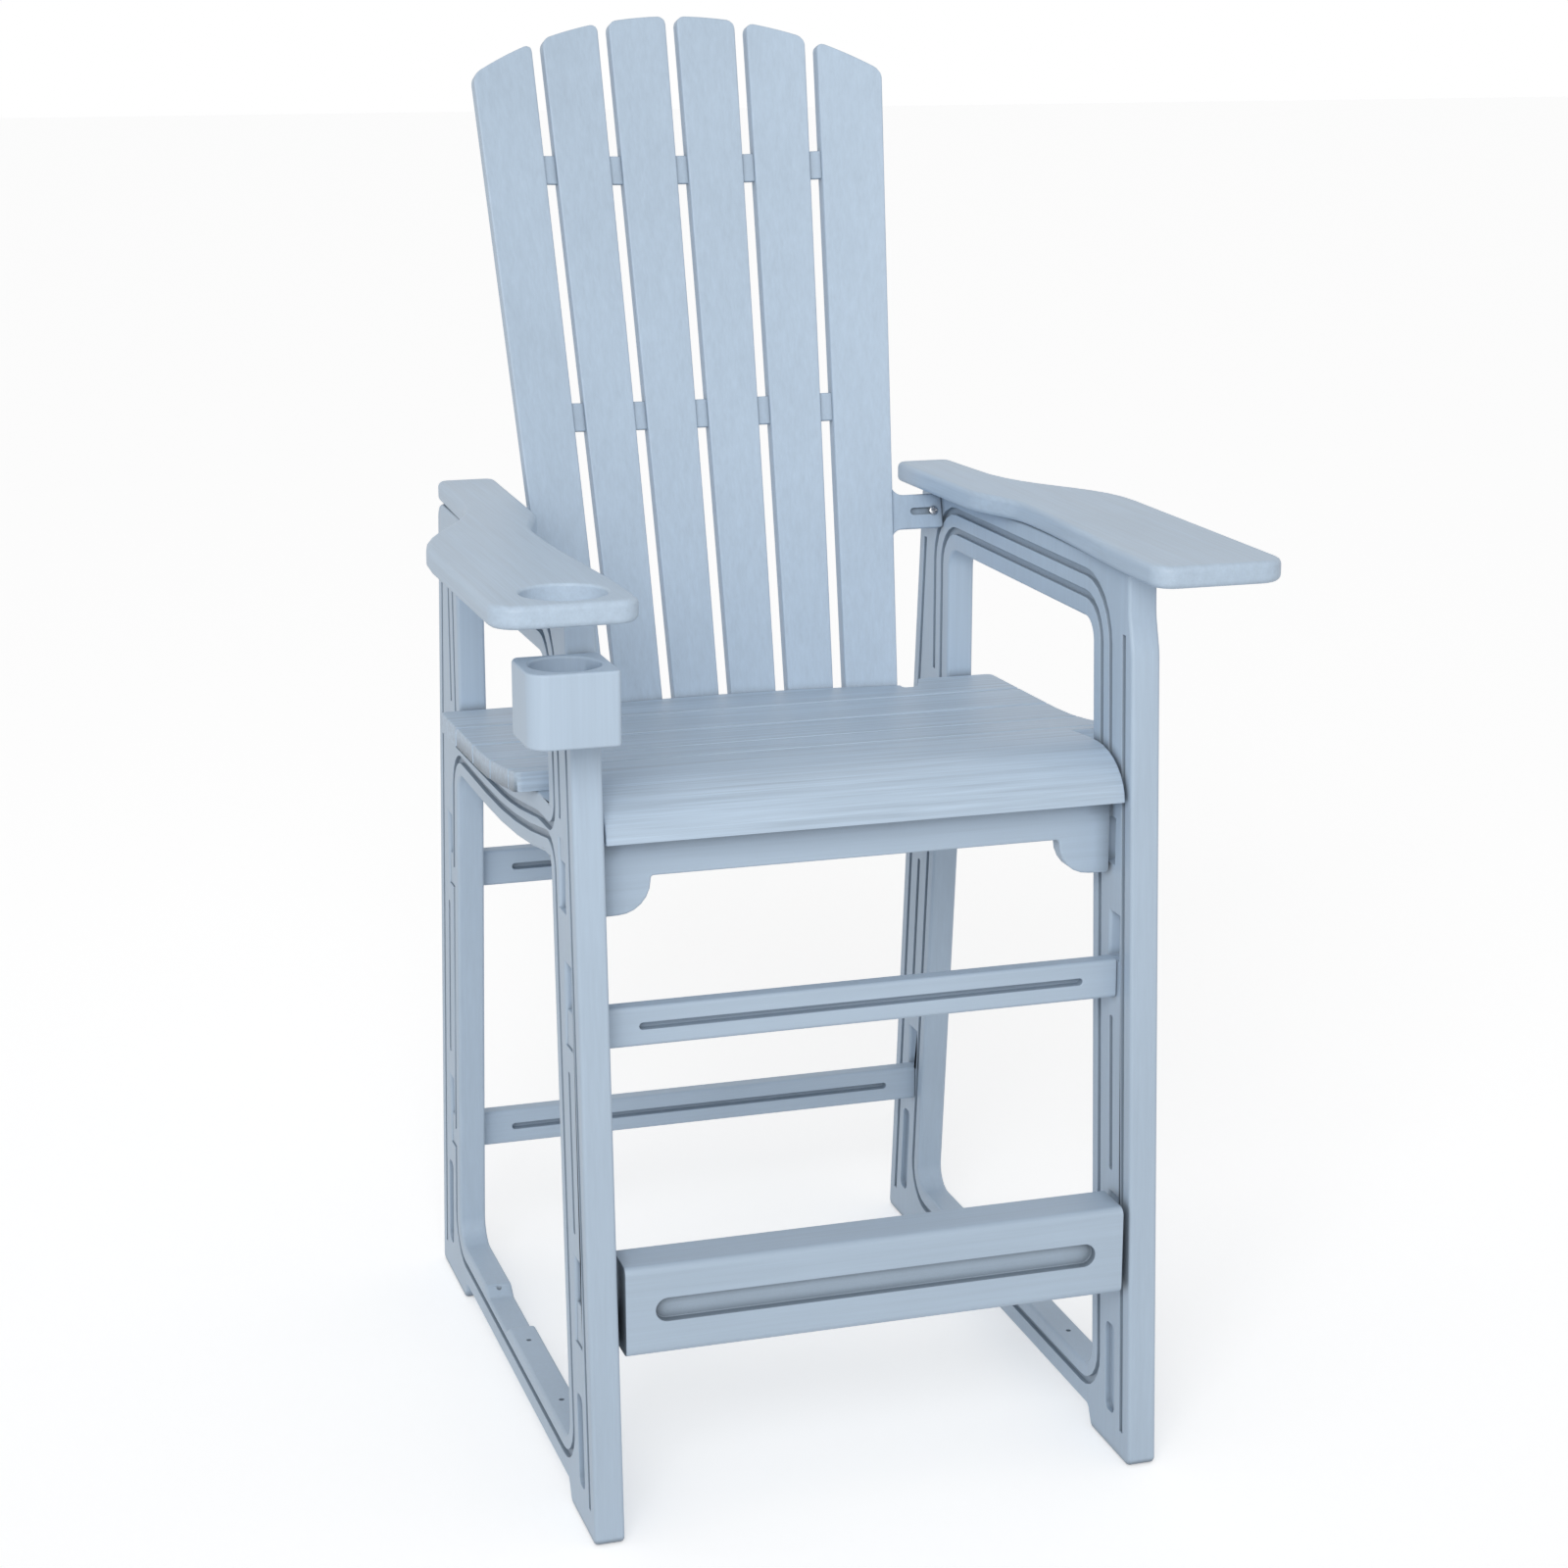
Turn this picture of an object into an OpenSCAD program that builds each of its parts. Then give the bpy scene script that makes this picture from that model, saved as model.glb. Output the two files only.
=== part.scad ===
// Adirondack bar stool in moulded plastic. Two side frames carry hooked cross bars,
// a grooved seat with a waterfall nose, a curved fan back, two arms and a cup holder.
// x runs across the stool, the sitter faces -y, z is up. Heights are above the floor.
// Depths (y) are given from the front edge of the front foot and shifted to the middle at the end.

/* [Side frames] */
// Clear width between the two side frames
frame_gap = 530; // [480:5:600]
// Thickness of a side frame
frame_t = 30; // [28:1:36]
// Height of a side frame, which is the underside of the arms
frame_h = 921; // [900:1:960]
// Depth of a side frame on the floor
frame_depth = 742; // [730:1:780]
// Width of the front leg
front_leg_w = 98; // [90:1:104]
// Width of the rear leg
rear_leg_w = 96; // [84:1:100]
// Lean of the front leg from the vertical, in degrees
front_lean = 3.35; // [3:0.05:3.8]
// Lean of the rear leg from the vertical, in degrees
rear_lean = 5.7; // [5:0.1:6]
// Set-back of the front post where it meets the arm
neck_set = 8; // [4:1:12]
// Length of the front foot on the floor
front_foot = 100; // [80:1:110]
// Length of the rear foot on the floor
rear_foot = 125; // [100:1:140]
// Height of the bottom rail's underside
rail_bottom = 20; // [12:1:26]
// Height of the bottom rail's top
rail_top = 63; // [58:1:80]
// Depth of the dip in the bottom rail
rail_dip = 10; // [6:1:14]
// Length of the dip's flat bottom
dip_l = 90; // [60:5:110]
// Distance of the dip from the rear leg
dip_rear = 150; // [140:2:180]
// Height of the rail under the arm
arm_rail = 66; // [58:1:72]
// Width of the upper rear post at the arm rail
post_w = 96.7; // [90:0.1:102]
// Height of the leg opening at its rear
arch_z = 634; // [620:1:640]
// Radius of the arched lower edge of the seat rail
arch_r = 1508; // [1300:10:1800]
// Rounding of the feet
foot_r = 8; // [4:1:9]

/* [Frame grooves] */
// Width of a groove line
groove_w = 8; // [5:0.5:9]
// Depth of a groove line
groove_d = 5; // [2:0.5:6]
// Distance of the inner groove line from the arm opening
arm_groove = 19; // [16:1:24]
// Distance of the outer groove line from the arm opening
arm_groove_2 = 41; // [38:1:46]
// Distance of the groove line from the leg opening
leg_groove = 15; // [12:1:20]
// Distance of the groove line from the leg's outer edge
rim_groove = 16; // [14:1:22]
// Width of a wide recess in a leg
recess_w = 22; // [16:1:26]
// Width of a narrow recess in a leg
recess_narrow = 8; // [6:1:10]
// Depth of a recess in a leg
recess_d = 6; // [3:0.5:8]

/* [Seat] */
// Height of the seat's top at its rear edge
seat_z = 709; // [700:1:716]
// Thickness of the seat
seat_t = 20; // [16:1:24]
// Gap between the seat's rear edge and the rear posts
seat_rear_gap = 3; // [1:0.5:5]
// Depth position of the highest line of the seat
crest_y = 118; // [112:1:124]
// Depth position where the seat starts to rise to its crest
rise_y = 360; // [300:5:380]
// Height of the crest above the run of the seat
rise_h = 19; // [12:1:26]
// Slope of the seat's run, rising to the front
seat_slope = 0.023; // [0.01:0.001:0.04]
// Reach of the nose in front of the crest
nose_l = 70; // [64:1:76]
// Height of the nose
nose_h = 46; // [40:1:52]
// Depth position of the front of the seat's wide part
wide_y = 188; // [176:1:210]
// Overhang of the wide part beyond the side frames
overhang = 22; // [14:1:28]
// Rounding of the wide part's corners
wide_r = 8; // [3:1:12]
// Gap between the seat's narrow part and the frames
seat_gap = 3; // [1:0.5:4]
// Width of one seat board
board_w = 85; // [70:1:100]
// Width of the lines between the boards
board_line = 5; // [2:0.5:6]
// Depth of the lines between the boards
board_line_d = 4; // [2:0.5:5]
// Depth of the ribs under the seat
rib_h = 8; // [5:0.5:12]
// Thickness of a rib
rib_t = 4; // [3:0.5:6]
// Distance of the notch's front from the seat's rear edge, beside the back
notch_d = 40; // [30:1:48]
// Reach of the notch beyond the edge of the back
notch_w = 19; // [10:1:30]
// Height of a batten under the seat
batten_h = 22; // [18:1:26]
// Depth of a batten from front to back
batten_d = 40; // [30:1:50]
// Distance of the front batten from the front of the seat's wide part
batten_front = 62; // [50:1:90]
// Distance of the rear batten from the seat's rear edge
batten_rear = 107; // [90:1:120]

/* [Back] */
// Tilt of the back from the vertical
back_tilt = 15.6; // [12:0.1:18]
// Distance of the slats' face in front of the rear posts, at the seat
back_set = 12.8; // [8:0.1:16]
// Length of the back above the seat
back_h = 753.5; // [700:0.5:780]
// Length of the back's foot below the seat
foot_h = 66; // [56:1:70]
// Thickness of the back
back_t = 17; // [15:1:20]
// Radius of the back's curve across its width
back_r = 1060; // [900:10:1500]
// Half the width of the back at the seat
back_half = 195; // [180:1:205]
// Spread of the back's edges, in degrees
back_fan = 3.11; // [2:0.01:3.3]
// Radius of the back's top arc
top_r = 427; // [400:1:500]
// Number of slats
slats = 6; // [4:2:8]
// Gap between two slats at the seat
gap_low = 13.7; // [8:0.1:16]
// Gap between two slats at the top
gap_high = 12.7; // [8:0.1:18]
// Rounding of a slat's top corners
slat_r = 9; // [4:1:12]
// Height of a bridge row
bridge_h = 31; // [20:1:40]
// Place of the lower bridge row along the back
bridge_low = 299; // [260:1:330]
// Place of the upper bridge row along the back
bridge_high = 569; // [500:1:600]
// Set-back of a bridge behind the slats' face
bridge_set = 5; // [3:1:6]
// Height of an ear
ear_h = 38; // [32:1:44]
// Distance of an ear's middle below the arm
ear_drop = 30.5; // [26:0.5:40]
// Set-back of an ear behind the face of the outer slat
ear_set = 4; // [2:0.5:5]
// Thickness of an ear
ear_t = 11; // [9:0.5:12]
// Rounding where an ear meets the slat
ear_blend = 14; // [8:1:16]
// Height of the rail behind the back's foot
foot_rail_h = 40; // [34:1:44]
// Thickness of that rail behind the middle of the back
foot_rail_t = 20; // [19:0.5:24]

/* [Arms] */
// Thickness of an arm
arm_t = 22; // [18:1:26]
// Half the overall width over both arms
arm_half = 384; // [375:1:400]
// Reach of the arms in front of the front foot
arm_reach = 45; // [40:1:60]
// Half the clear width between the arms at the front
arm_inner = 248; // [240:1:255]
// Half the clear width between the arms at the rear
arm_inner_rear = 229; // [222:1:236]
// Reach of the right arm's rear end behind the side frame
right_arm_end = -7; // [-12:1:4]
// Reach of the left arm's rear end behind the side frame
left_arm_end = 13; // [4:1:18]
// Half the width over the arms' narrow rear part
arm_waist = 299; // [297:1:310]
// Distance of the right arm's narrow part in front of the rear post
right_waist_y = 0; // [-20:5:20]
// Distance of the left arm's narrow part in front of the rear post
left_waist_y = 60; // [40:5:80]
// Length of the right arm's taper
right_taper = 245; // [220:5:280]
// Length of the left arm's taper
left_taper = 265; // [240:5:300]

/* [Cup holder] */
// Place of the cup's axis across the front of the arm, as a share of its width
cup_share = 0.434; // [0.41:0.001:0.47]
// Depth position of the cup's axis
cup_y = 11; // [8:0.5:12]
// Radius of the opening in the arm
cup_open_r = 40; // [36:0.5:42]
// Radius of the well in the holder
cup_well_r = 33; // [28:0.5:34]
// Distance of the holder's underside below the arm
cup_drop = 114; // [100:1:125]
// Height of the holder
cup_h = 70; // [60:1:80]
// Wall of the holder in front of its well
cup_wall = 10; // [8:0.5:12]
// Wall of the holder on the inner side of its well
cup_inner_wall = 9; // [7:0.5:11]
// Thickness of the holder's floor
cup_floor = 6; // [4:0.5:8]

/* [Cross bars] */
// Thickness of the thin bars
bar_t = 20; // [18:1:24]
// Height of the thin bars
bar_h = 40; // [36:1:44]
// Rounding of the thin bars
bar_r = 4; // [2:0.5:6]
// Height of the mid front bar's underside
mid_z = 486; // [460:1:510]
// Set-back of the mid front bar from the leg's front edge
mid_set = 35; // [30:1:45]
// Height of the footrest's underside
rest_z = 188; // [170:1:200]
// Height of the footrest
rest_h = 92; // [80:1:95]
// Depth of the footrest from front to back
rest_d = 56; // [54:1:62]
// Rounding of the footrest
rest_r = 8; // [5:0.5:10]
// Gap between the footrest and a side frame
rest_gap = 7; // [3:0.5:8]
// Height of the lower rear bar's underside
low_rear_z = 170; // [160:1:200]
// Height of the upper rear bar's underside
high_rear_z = 491; // [470:1:510]
// Set-back of the rear bars from the rear leg's front edge
rear_set = 22; // [14:1:30]
// Height of the apron's lower edge
apron_z = 648; // [644:1:652]
// Thickness of the apron
apron_t = 20; // [16:1:24]
// Depth position of the apron's front face
apron_y = 86; // [82:1:90]
// Drop of the apron's end brackets
bracket_h = 37; // [30:1:40]
// Width of the apron's end brackets
bracket_w = 53; // [46:1:60]
// Half the length of the slots in the bars
slot_half = 228; // [190:1:235]
// Height of the slots in the thin bars
slot_h = 7; // [4:0.5:9]
// Height of the slot in the footrest
rest_slot_h = 24; // [16:1:30]
// Depth of the slots
slot_d = 10; // [5:1:12]

/* [Hooks] */
// Thickness of a hook's neck
neck_t = 8; // [6:0.5:9]
// Width of a hook's head
head_w = 21; // [18:0.5:22]
// Thickness of a hook's head
head_t = 6; // [5:0.5:7]
// Height of the window that a hook enters
window_h = 48; // [44:1:52]
// Length of the rails' ends in the side frames
tenon = 8; // [6:0.5:12]
// Play around a hook and between pieces that meet
play = 0.3; // [0.2:0.05:0.4]

/* [Screws] */
// Diameter of a screw's shank
screw_d = 5; // [4:0.5:5.5]
// Diameter of a screw's head
screw_head = 9.5; // [8:0.5:10]
// Thickness of a screw's head
screw_head_t = 3.5; // [2.5:0.5:4]
// Length of a screw in the piece that it holds
screw_bite = 14; // [10:1:15]
// Clearance around a sunk screw head
head_clear = 1; // [0.5:0.25:2]
// Distance of the arm screws' seats below the arm
arm_screw_grip = 26; // [20:1:32]
// Thickness of a batten under a screw head
batten_grip = 14; // [10:1:16]
// Thickness of the cup holder under a screw head
cup_grip = 8; // [6:0.5:9]
// Thickness of the back under a screw head
foot_grip = 12; // [9:0.5:13]

/* [Hidden] */

paint = "#b2c5d9";
steel = "#c9ccd0";
arc_steps = 6;
round_fn = 48;
large_fn = 360;
through = 1;

inner_x = frame_gap / 2;
outer_x = inner_x + frame_t;
seat_half = inner_x - seat_gap;
wide_half = outer_x + overhang;
open_top = frame_h - arm_rail;
post_y = rear_edge(open_top) - post_w;
seat_rear = post_y - seat_rear_gap;
tilt_run = sin(back_tilt);
tilt_rise = cos(back_tilt);
back_y = post_y - back_set;
back_sink = 3;
back_z = seat_z - back_sink;
back_rear = back_y + tilt_run * back_h + tilt_rise * back_t;
mid_y = (back_rear - arm_reach) / 2;

// Edges of the legs at a height
function front_edge(z) = tan(front_lean) * z;
function front_leg_rear(z) = front_leg_w + front_edge(z);
function rear_edge(z) = frame_depth - tan(rear_lean) * z;
function rear_leg_front(z) = rear_edge(z) - rear_leg_w;

function unit(v) = v / norm(v);
function xy(p) = [p[0], p[1]];

// Arc that rounds the corner b between a and c; b[2] is its radius
function corner(a, b, c) =
    b[2] == 0 ? [xy(b)] :
    let (
        u = unit(xy(a) - xy(b)),
        v = unit(xy(c) - xy(b)),
        half = acos(u * v) / 2,
        centre = xy(b) + unit(u + v) * b[2] / sin(half),
        from = xy(b) + u * b[2] / tan(half) - centre,
        to = xy(b) + v * b[2] / tan(half) - centre,
        start = atan2(from[1], from[0]),
        sweep = (atan2(to[1], to[0]) - start + 540) % 360 - 180
    )
    [for (i = [0:arc_steps]) centre + b[2] * [cos(start + sweep * i / arc_steps),
                                              sin(start + sweep * i / arc_steps)]];

// Closed outline from corners [x, y, radius]
function rounded(points) =
    let (n = len(points))
    [for (i = [0:n - 1]) each corner(points[(i + n - 1) % n], points[i], points[(i + 1) % n])];

// Outline drawn in by d; it grows where d is negative
function inset(points, d) =
    let (n = len(points))
    [for (i = [0:n - 1])
        let (
            e1 = unit(points[i] - points[(i + n - 1) % n]),
            e2 = unit(points[(i + 1) % n] - points[i]),
            n1 = [e1[1], -e1[0]],
            n2 = [e2[1], -e2[0]]
        )
        points[i] - (n1 + n2) * d / (1 + n1 * n2)];

// Cubic curve between a and d, without its last point
function curve(a, b, c, d, steps) =
    [for (i = [0:steps - 1])
        let (t = i / steps)
        a * pow(1 - t, 3) + b * 3 * pow(1 - t, 2) * t + c * 3 * (1 - t) * pow(t, 2) + d * pow(t, 3)];

// Height of the seat's top and underside
function seat_top(y) =
    seat_z + seat_slope * (seat_rear - y)
    + rise_h * (1 - cos(180 * min(1, max(0, (rise_y - y) / (rise_y - crest_y))))) / 2;
function seat_under(y) = seat_top(y) - seat_t;
wide_run = [for (i = [0:4]) wide_y + (rise_y - wide_y) * i / 4];
front_run = [for (i = [0:5]) crest_y + (wide_y - crest_y) * i / 6];

// Outlines of a side frame, as [depth, height]
neck_top = frame_h - 45;
neck_low = frame_h - 80;
neck_r = 60;
rail_r = 6;
frame_outline = rounded([
    [front_edge(0), 0, foot_r],
    [front_foot, 0, foot_r],
    [front_foot + rail_bottom / 2, rail_bottom, rail_r],
    [frame_depth - rear_foot - rail_bottom / 2, rail_bottom, rail_r],
    [frame_depth - rear_foot, 0, foot_r],
    [frame_depth, 0, foot_r],
    [rear_edge(frame_h), frame_h, 18],
    [front_edge(frame_h) + neck_set, frame_h, 8],
    [front_edge(neck_top) + neck_set, neck_top, neck_r],
    [front_edge(neck_low), neck_low, neck_r]
]);
arch_rear = post_y - 130;
arch_run = arch_rear - front_leg_rear(arch_z) - 15;
arch = [for (i = [0:4])
    let (run = arch_run * i / 4)
    [arch_rear - run, arch_z + arch_r - sqrt(pow(arch_r, 2) - pow(run, 2)), 0]];
arch_front = arch[4][1] + 2;
dip_side = rail_dip * 1.4;
dip_r = 10;
dip_end = rear_leg_front(rail_top) - dip_rear;
opening_r = 25;
function leg_opening(dip) = rounded(concat(
    [[front_leg_rear(rail_top), rail_top, opening_r]],
    dip == 0 ? [] : [
        [dip_end - dip_l - dip_side, rail_top, dip_r],
        [dip_end - dip_l, rail_top - dip, dip_r],
        [dip_end, rail_top - dip, dip_r],
        [dip_end + dip_side, rail_top, dip_r]
    ],
    [[rear_leg_front(rail_top), rail_top, opening_r], [rear_leg_front(arch_z), arch_z, opening_r]],
    arch,
    [[front_leg_rear(arch_front), arch_front, 12]]
));
arm_opening = rounded(concat(
    [[front_leg_rear(seat_under(wide_y)), seat_under(wide_y), 6]],
    [for (y = wide_run) [y, seat_under(y), 0]],
    [[post_y, seat_under(post_y), 0], [post_y, open_top, 22],
     [front_leg_rear(open_top), open_top, 22]]
));

module ring(points, near) {
    difference() {
        polygon(inset(points, -near - groove_w));
        polygon(inset(points, -near));
    }
}

// Turns a drawing in depth and height into a solid that is thick along x
module upright() {
    rotate([90, 0, 90]) children();
}

module centred() {
    translate([0, -mid_y, 0]) children();
}

module both_sides() {
    children();
    mirror([1, 0, 0]) children();
}

// Puts a shape that is drawn along the back in its tilted place
module on_back() {
    translate([0, back_y, back_z]) rotate([-back_tilt, 0, 0]) children();
}

// Hooks: [depth of the neck's middle, its underside, its height, height where the window starts]
mid_bar_y = front_edge(mid_z) + mid_set;
rest_y = front_edge(rest_z + rest_h / 2);
low_rear_y = rear_leg_front(low_rear_z) + rear_set;
high_rear_y = rear_leg_front(high_rear_z) + rear_set;
hook_rim = 2;
bar_neck = bar_h - 2 * hook_rim;
function bar_hook(y, z) = [y + bar_t / 2, z + hook_rim, bar_neck, z + hook_rim + bar_neck];
rest_neck = 42;
rest_hook_y = rest_y + rest_d - 14;
rest_hook_z = rest_z + 1;
apron_neck = 22;
apron_hook_z = seat_z - 41;
mid_hook = bar_hook(mid_bar_y, mid_z);
low_rear_hook = bar_hook(low_rear_y, low_rear_z);
high_rear_hook = bar_hook(high_rear_y, high_rear_z);
rest_hook = [rest_hook_y, rest_hook_z, rest_neck, rest_hook_z + rest_neck];
apron_hook = [apron_y + neck_t / 2 + 1, apron_hook_z, apron_neck, apron_hook_z - window_h];
hooks = [mid_hook, rest_hook, low_rear_hook, high_rear_hook, apron_hook];
head_cover = 2;
head_seat = frame_t - head_t - head_cover;

module hook(h, bar_end) {
    length = inner_x + head_seat + play + head_t - bar_end;
    translate([bar_end - through, h[0] - neck_t / 2, h[1]])
        cube([length + through, neck_t, h[2]]);
    translate([inner_x + head_seat + play, h[0] - head_w / 2, h[1]])
        cube([head_t, head_w, h[2]]);
}

// Keyhole for a hook, drawn in depth and height with the thickness upwards
module keyhole(h) {
    low = min(h[1], h[3]) - play;
    high = max(h[1] + h[2], h[3] + window_h) + play;
    wide = head_w + 6 * play;
    translate([h[0] - neck_t / 2 - play, h[1] - play, -through])
        cube([neck_t + 2 * play, h[2] + 2 * play, frame_t + 2 * through]);
    translate([h[0] - wide / 2, h[3], -through])
        cube([wide, window_h, frame_t + 2 * through]);
    translate([h[0] - wide / 2, low, head_seat])
        cube([wide, high - low, frame_t]);
}

// Recess along a leg's middle line from one height to another
function front_mid(z) = front_edge(z) + front_leg_w / 2;
function rear_mid(z) = rear_edge(z) - rear_leg_w / 2;
module leg_recess(y0, y1, z0, z1, w) {
    r = w / 3;
    polygon(rounded([
        [y0 - w / 2, z0, r], [y0 + w / 2, z0, r], [y1 + w / 2, z1, r], [y1 - w / 2, z1, r]
    ]));
}

// Groove line between two depths that follow a leg's edge, from rim_low to the arm rail
rim_low = 30;
module rim_line(low, high) {
    polygon([[low, rim_low], [low + groove_w, rim_low], [high + groove_w, open_top], [high, open_top]]);
}

module frame_lines() {
    rear_rim = rim_groove + groove_w;
    ring(leg_opening(0), leg_groove);
    ring(arm_opening, arm_groove);
    intersection() {
        ring(arm_opening, arm_groove_2);
        translate([0, seat_z]) square([frame_depth, frame_h]);
    }
    rim_line(front_edge(rim_low) + rim_groove, front_edge(open_top) + rim_groove);
    rim_line(rear_edge(rim_low) - rear_rim, rear_edge(open_top) - rear_rim);
}

// Heights of the recesses: two in the front leg, two in the rear leg
front_recesses = [[40, 136, recess_w], [301, mid_z - 23, recess_narrow]];
rear_recesses = [[41, low_rear_z - 25, recess_w], [285, high_rear_z - 21, recess_narrow]];

module leg_recesses() {
    for (r = front_recesses) leg_recess(front_mid(r[0]), front_mid(r[1]), r[0], r[1], r[2]);
    for (r = rear_recesses) leg_recess(rear_mid(r[0]), rear_mid(r[1]), r[0], r[1], r[2]);
}

// Rails that end in a mortise of the side frames
batten_ys = [wide_y + batten_front, seat_rear - batten_rear];
function batten_top(y) = seat_under(y) - rib_h;
function batten_low(y) = batten_top(y + batten_d / 2) - batten_h;
foot_lift = 4;
foot_rail_y = back_y + tilt_rise * (face_y(back_half) + back_t) - tilt_run * foot_h;
foot_rail_rear = back_y + tilt_rise * back_t - tilt_run * foot_h / 2 + foot_rail_t;
foot_rail_d = foot_rail_rear - foot_rail_y;
foot_rail_z = back_z - foot_h + foot_lift;

module mortises() {
    for (y = batten_ys)
        translate([y - batten_d / 2 - play, batten_low(y) - play, -through])
            cube([batten_d + 2 * play, batten_top(y - batten_d / 2) - batten_low(y) + 2 * play,
                  tenon + play + through]);
    translate([foot_rail_y - play, foot_rail_z - play, -through])
        cube([foot_rail_d + 2 * play, foot_rail_h + 2 * play, tenon + play + through]);
}

arm_screw_front = front_leg_rear(open_top) + 52;
arm_screw_rear = post_y - 60;
arm_screw_ys = [for (i = [0:2]) arm_screw_front + (arm_screw_rear - arm_screw_front) * i / 2];
arm_screw_z = frame_h - arm_screw_grip;
ear_z = (frame_h - ear_drop - back_z) / tilt_rise;
ear_x = inner_x - 11;
ear_front = face_y(half_at(ear_z)) + ear_set;
ear_rear = ear_front + ear_t;
lug_t = 14;
lug_w = 22;
lug_h = 30;

module arm_screw_bores() {
    for (y = arm_screw_ys) translate([inner_x + frame_t / 2, y, 0]) {
        translate([0, 0, open_top - through])
            cylinder(d = screw_head + 4 * head_clear, h = arm_screw_z - open_top + through, $fn = round_fn);
        cylinder(d = screw_d + 2 * play, h = frame_h + through, $fn = round_fn);
    }
}

cup_x = arm_inner + cup_share * (arm_half - arm_inner);
cup_z = frame_h - cup_drop;
cup_inner = cup_x - cup_well_r - cup_inner_wall;
cup_screw_x = cup_inner + 13;
cup_screw_zs = [cup_z + 20, cup_z + 52];
cup_back = front_edge(cup_z);
cup_seat = cup_back - cup_grip;

module cup_screw_bores() {
    for (z = cup_screw_zs) translate([cup_screw_x, 0, z]) rotate([-90, 0, 0])
        cylinder(d = screw_d + 2 * play, h = cup_back + screw_bite + 2, $fn = round_fn);
}

module side_frame() {
    difference() {
        union() {
            translate([inner_x, 0, 0]) upright() difference() {
                linear_extrude(frame_t) difference() {
                    polygon(frame_outline);
                    polygon(leg_opening(rail_dip));
                    polygon(arm_opening);
                }
                for (z = [-through, frame_t - groove_d])
                    translate([0, 0, z]) linear_extrude(groove_d + through) frame_lines();
                for (z = [-through, frame_t - recess_d])
                    translate([0, 0, z]) linear_extrude(recess_d + through) leg_recesses();
                for (h = hooks) keyhole(h);
                mortises();
            }
            on_back() translate([inner_x - lug_w, ear_rear + play, ear_z - lug_h / 2])
                cube([lug_w + through, lug_t, lug_h]);
        }
        arm_screw_bores();
        on_back() ear_screw_place() translate([0, 0, -through])
            cylinder(d = screw_d + 2 * play, h = screw_bite + 2 * through, $fn = round_fn);
    }
}

module left_side_frame() {
    color(paint) centred() mirror([1, 0, 0]) difference() {
        side_frame();
        cup_screw_bores();
    }
}

module right_side_frame() {
    color(paint) centred() side_frame();
}

// Section of the seat in depth and height
nose = [for (i = [1:8]) let (a = 90 * i / 8)
    [crest_y - nose_l * sin(a), seat_top(crest_y) - nose_h * (1 - cos(a))]];
nose_under = [for (i = [8:-1:0]) let (a = 90 * i / 8)
    [crest_y - (nose_l - seat_t) * sin(a), seat_under(crest_y) - (nose_h - seat_t) * (1 - cos(a))]];

module seat_section() {
    polygon(concat(
        [for (y = front_run) [y, seat_top(y)]], [for (y = wide_run) [y, seat_top(y)]],
        [[seat_rear, seat_top(seat_rear)], [seat_rear, seat_under(seat_rear)]],
        [for (i = [4:-1:0]) [wide_run[i], seat_under(wide_run[i])]],
        [for (i = [5:-1:1]) [front_run[i], seat_under(front_run[i])]],
        [for (i = [8:-1:0]) nose_under[i]],
        [for (i = [7:-1:0]) nose[i]]
    ));
}

module along_x(half) {
    translate([-half, 0, 0]) upright() linear_extrude(2 * half) children();
}

boss_d = 16;
seat_screw_x = 0.65 * seat_half;
nose_end_w = bracket_w - 10;

// Plan of the wide part, which rests on the side frames
wide_plan = rounded([
    [-wide_half, wide_y, wide_r], [wide_half, wide_y, wide_r],
    [wide_half, seat_rear, wide_r], [-wide_half, seat_rear, wide_r]
]);

// Calls its children at each screw between a batten and the seat
module seat_screw_places(y) {
    for (s = [-1, 1]) translate([s * seat_screw_x, y, 0]) children();
}

module seat_panel() {
    color(paint) centred() difference() {
        union() {
            along_x(seat_half) seat_section();
            intersection() {
                along_x(wide_half) seat_section();
                linear_extrude(frame_h) polygon(wide_plan);
            }
            for (x = [-2:2]) translate([x * seat_half / 2.4 - rib_t / 2, 0, 0])
                upright() linear_extrude(rib_t) seat_rib();
            both_sides() translate([seat_half - nose_end_w, 0, 0])
                upright() linear_extrude(nose_end_w) nose_end();
            for (y = batten_ys) difference() {
                seat_screw_places(y) translate([0, 0, batten_low(y)])
                    cylinder(d = boss_d, h = seat_under(y) + 2 - batten_low(y), $fn = round_fn);
                along_x(seat_half) batten_section(y, 2);
            }
        }
        for (i = [1:4]) board_groove(seat_rear - board_w * i);
        back_slot();
        both_sides() linear_extrude(frame_h) polygon(back_notch);
        for (y = batten_ys) seat_screw_places(y) translate([0, 0, batten_top(y) - through])
            cylinder(d = screw_d + 2 * play, h = screw_bite + through + play, $fn = round_fn);
    }
}

rib_end = seat_rear - 40;
module seat_rib() {
    polygon(concat(
        [for (y = wide_run) [y, seat_under(y) - rib_h]],
        [[rib_end, seat_under(rib_end) - rib_h], [rib_end, seat_under(rib_end) + 1]],
        [for (i = [4:-1:0]) [wide_run[i], seat_under(wide_run[i]) + 1]]
    ));
}

// Closed end of the nose, in front of the apron
module nose_end() {
    polygon(concat(
        [[apron_y - play, nose[7][1]], [apron_y - play, seat_under(apron_y)]],
        [for (i = [4:7]) nose[i]]
    ));
}

// Line across the seat at a depth, which also nicks the seat's two ends
module board_groove(y) {
    translate([-wide_half - through, y - board_line / 2, seat_top(y) - board_line_d])
        cube([2 * wide_half + 2 * through, board_line, board_line_d + through]);
    for (x = [-wide_half - through, wide_half - through])
        translate([x, y - board_line / 2, seat_under(y) - through])
            cube([2 * through, board_line, seat_t + 2 * through]);
}

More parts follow.
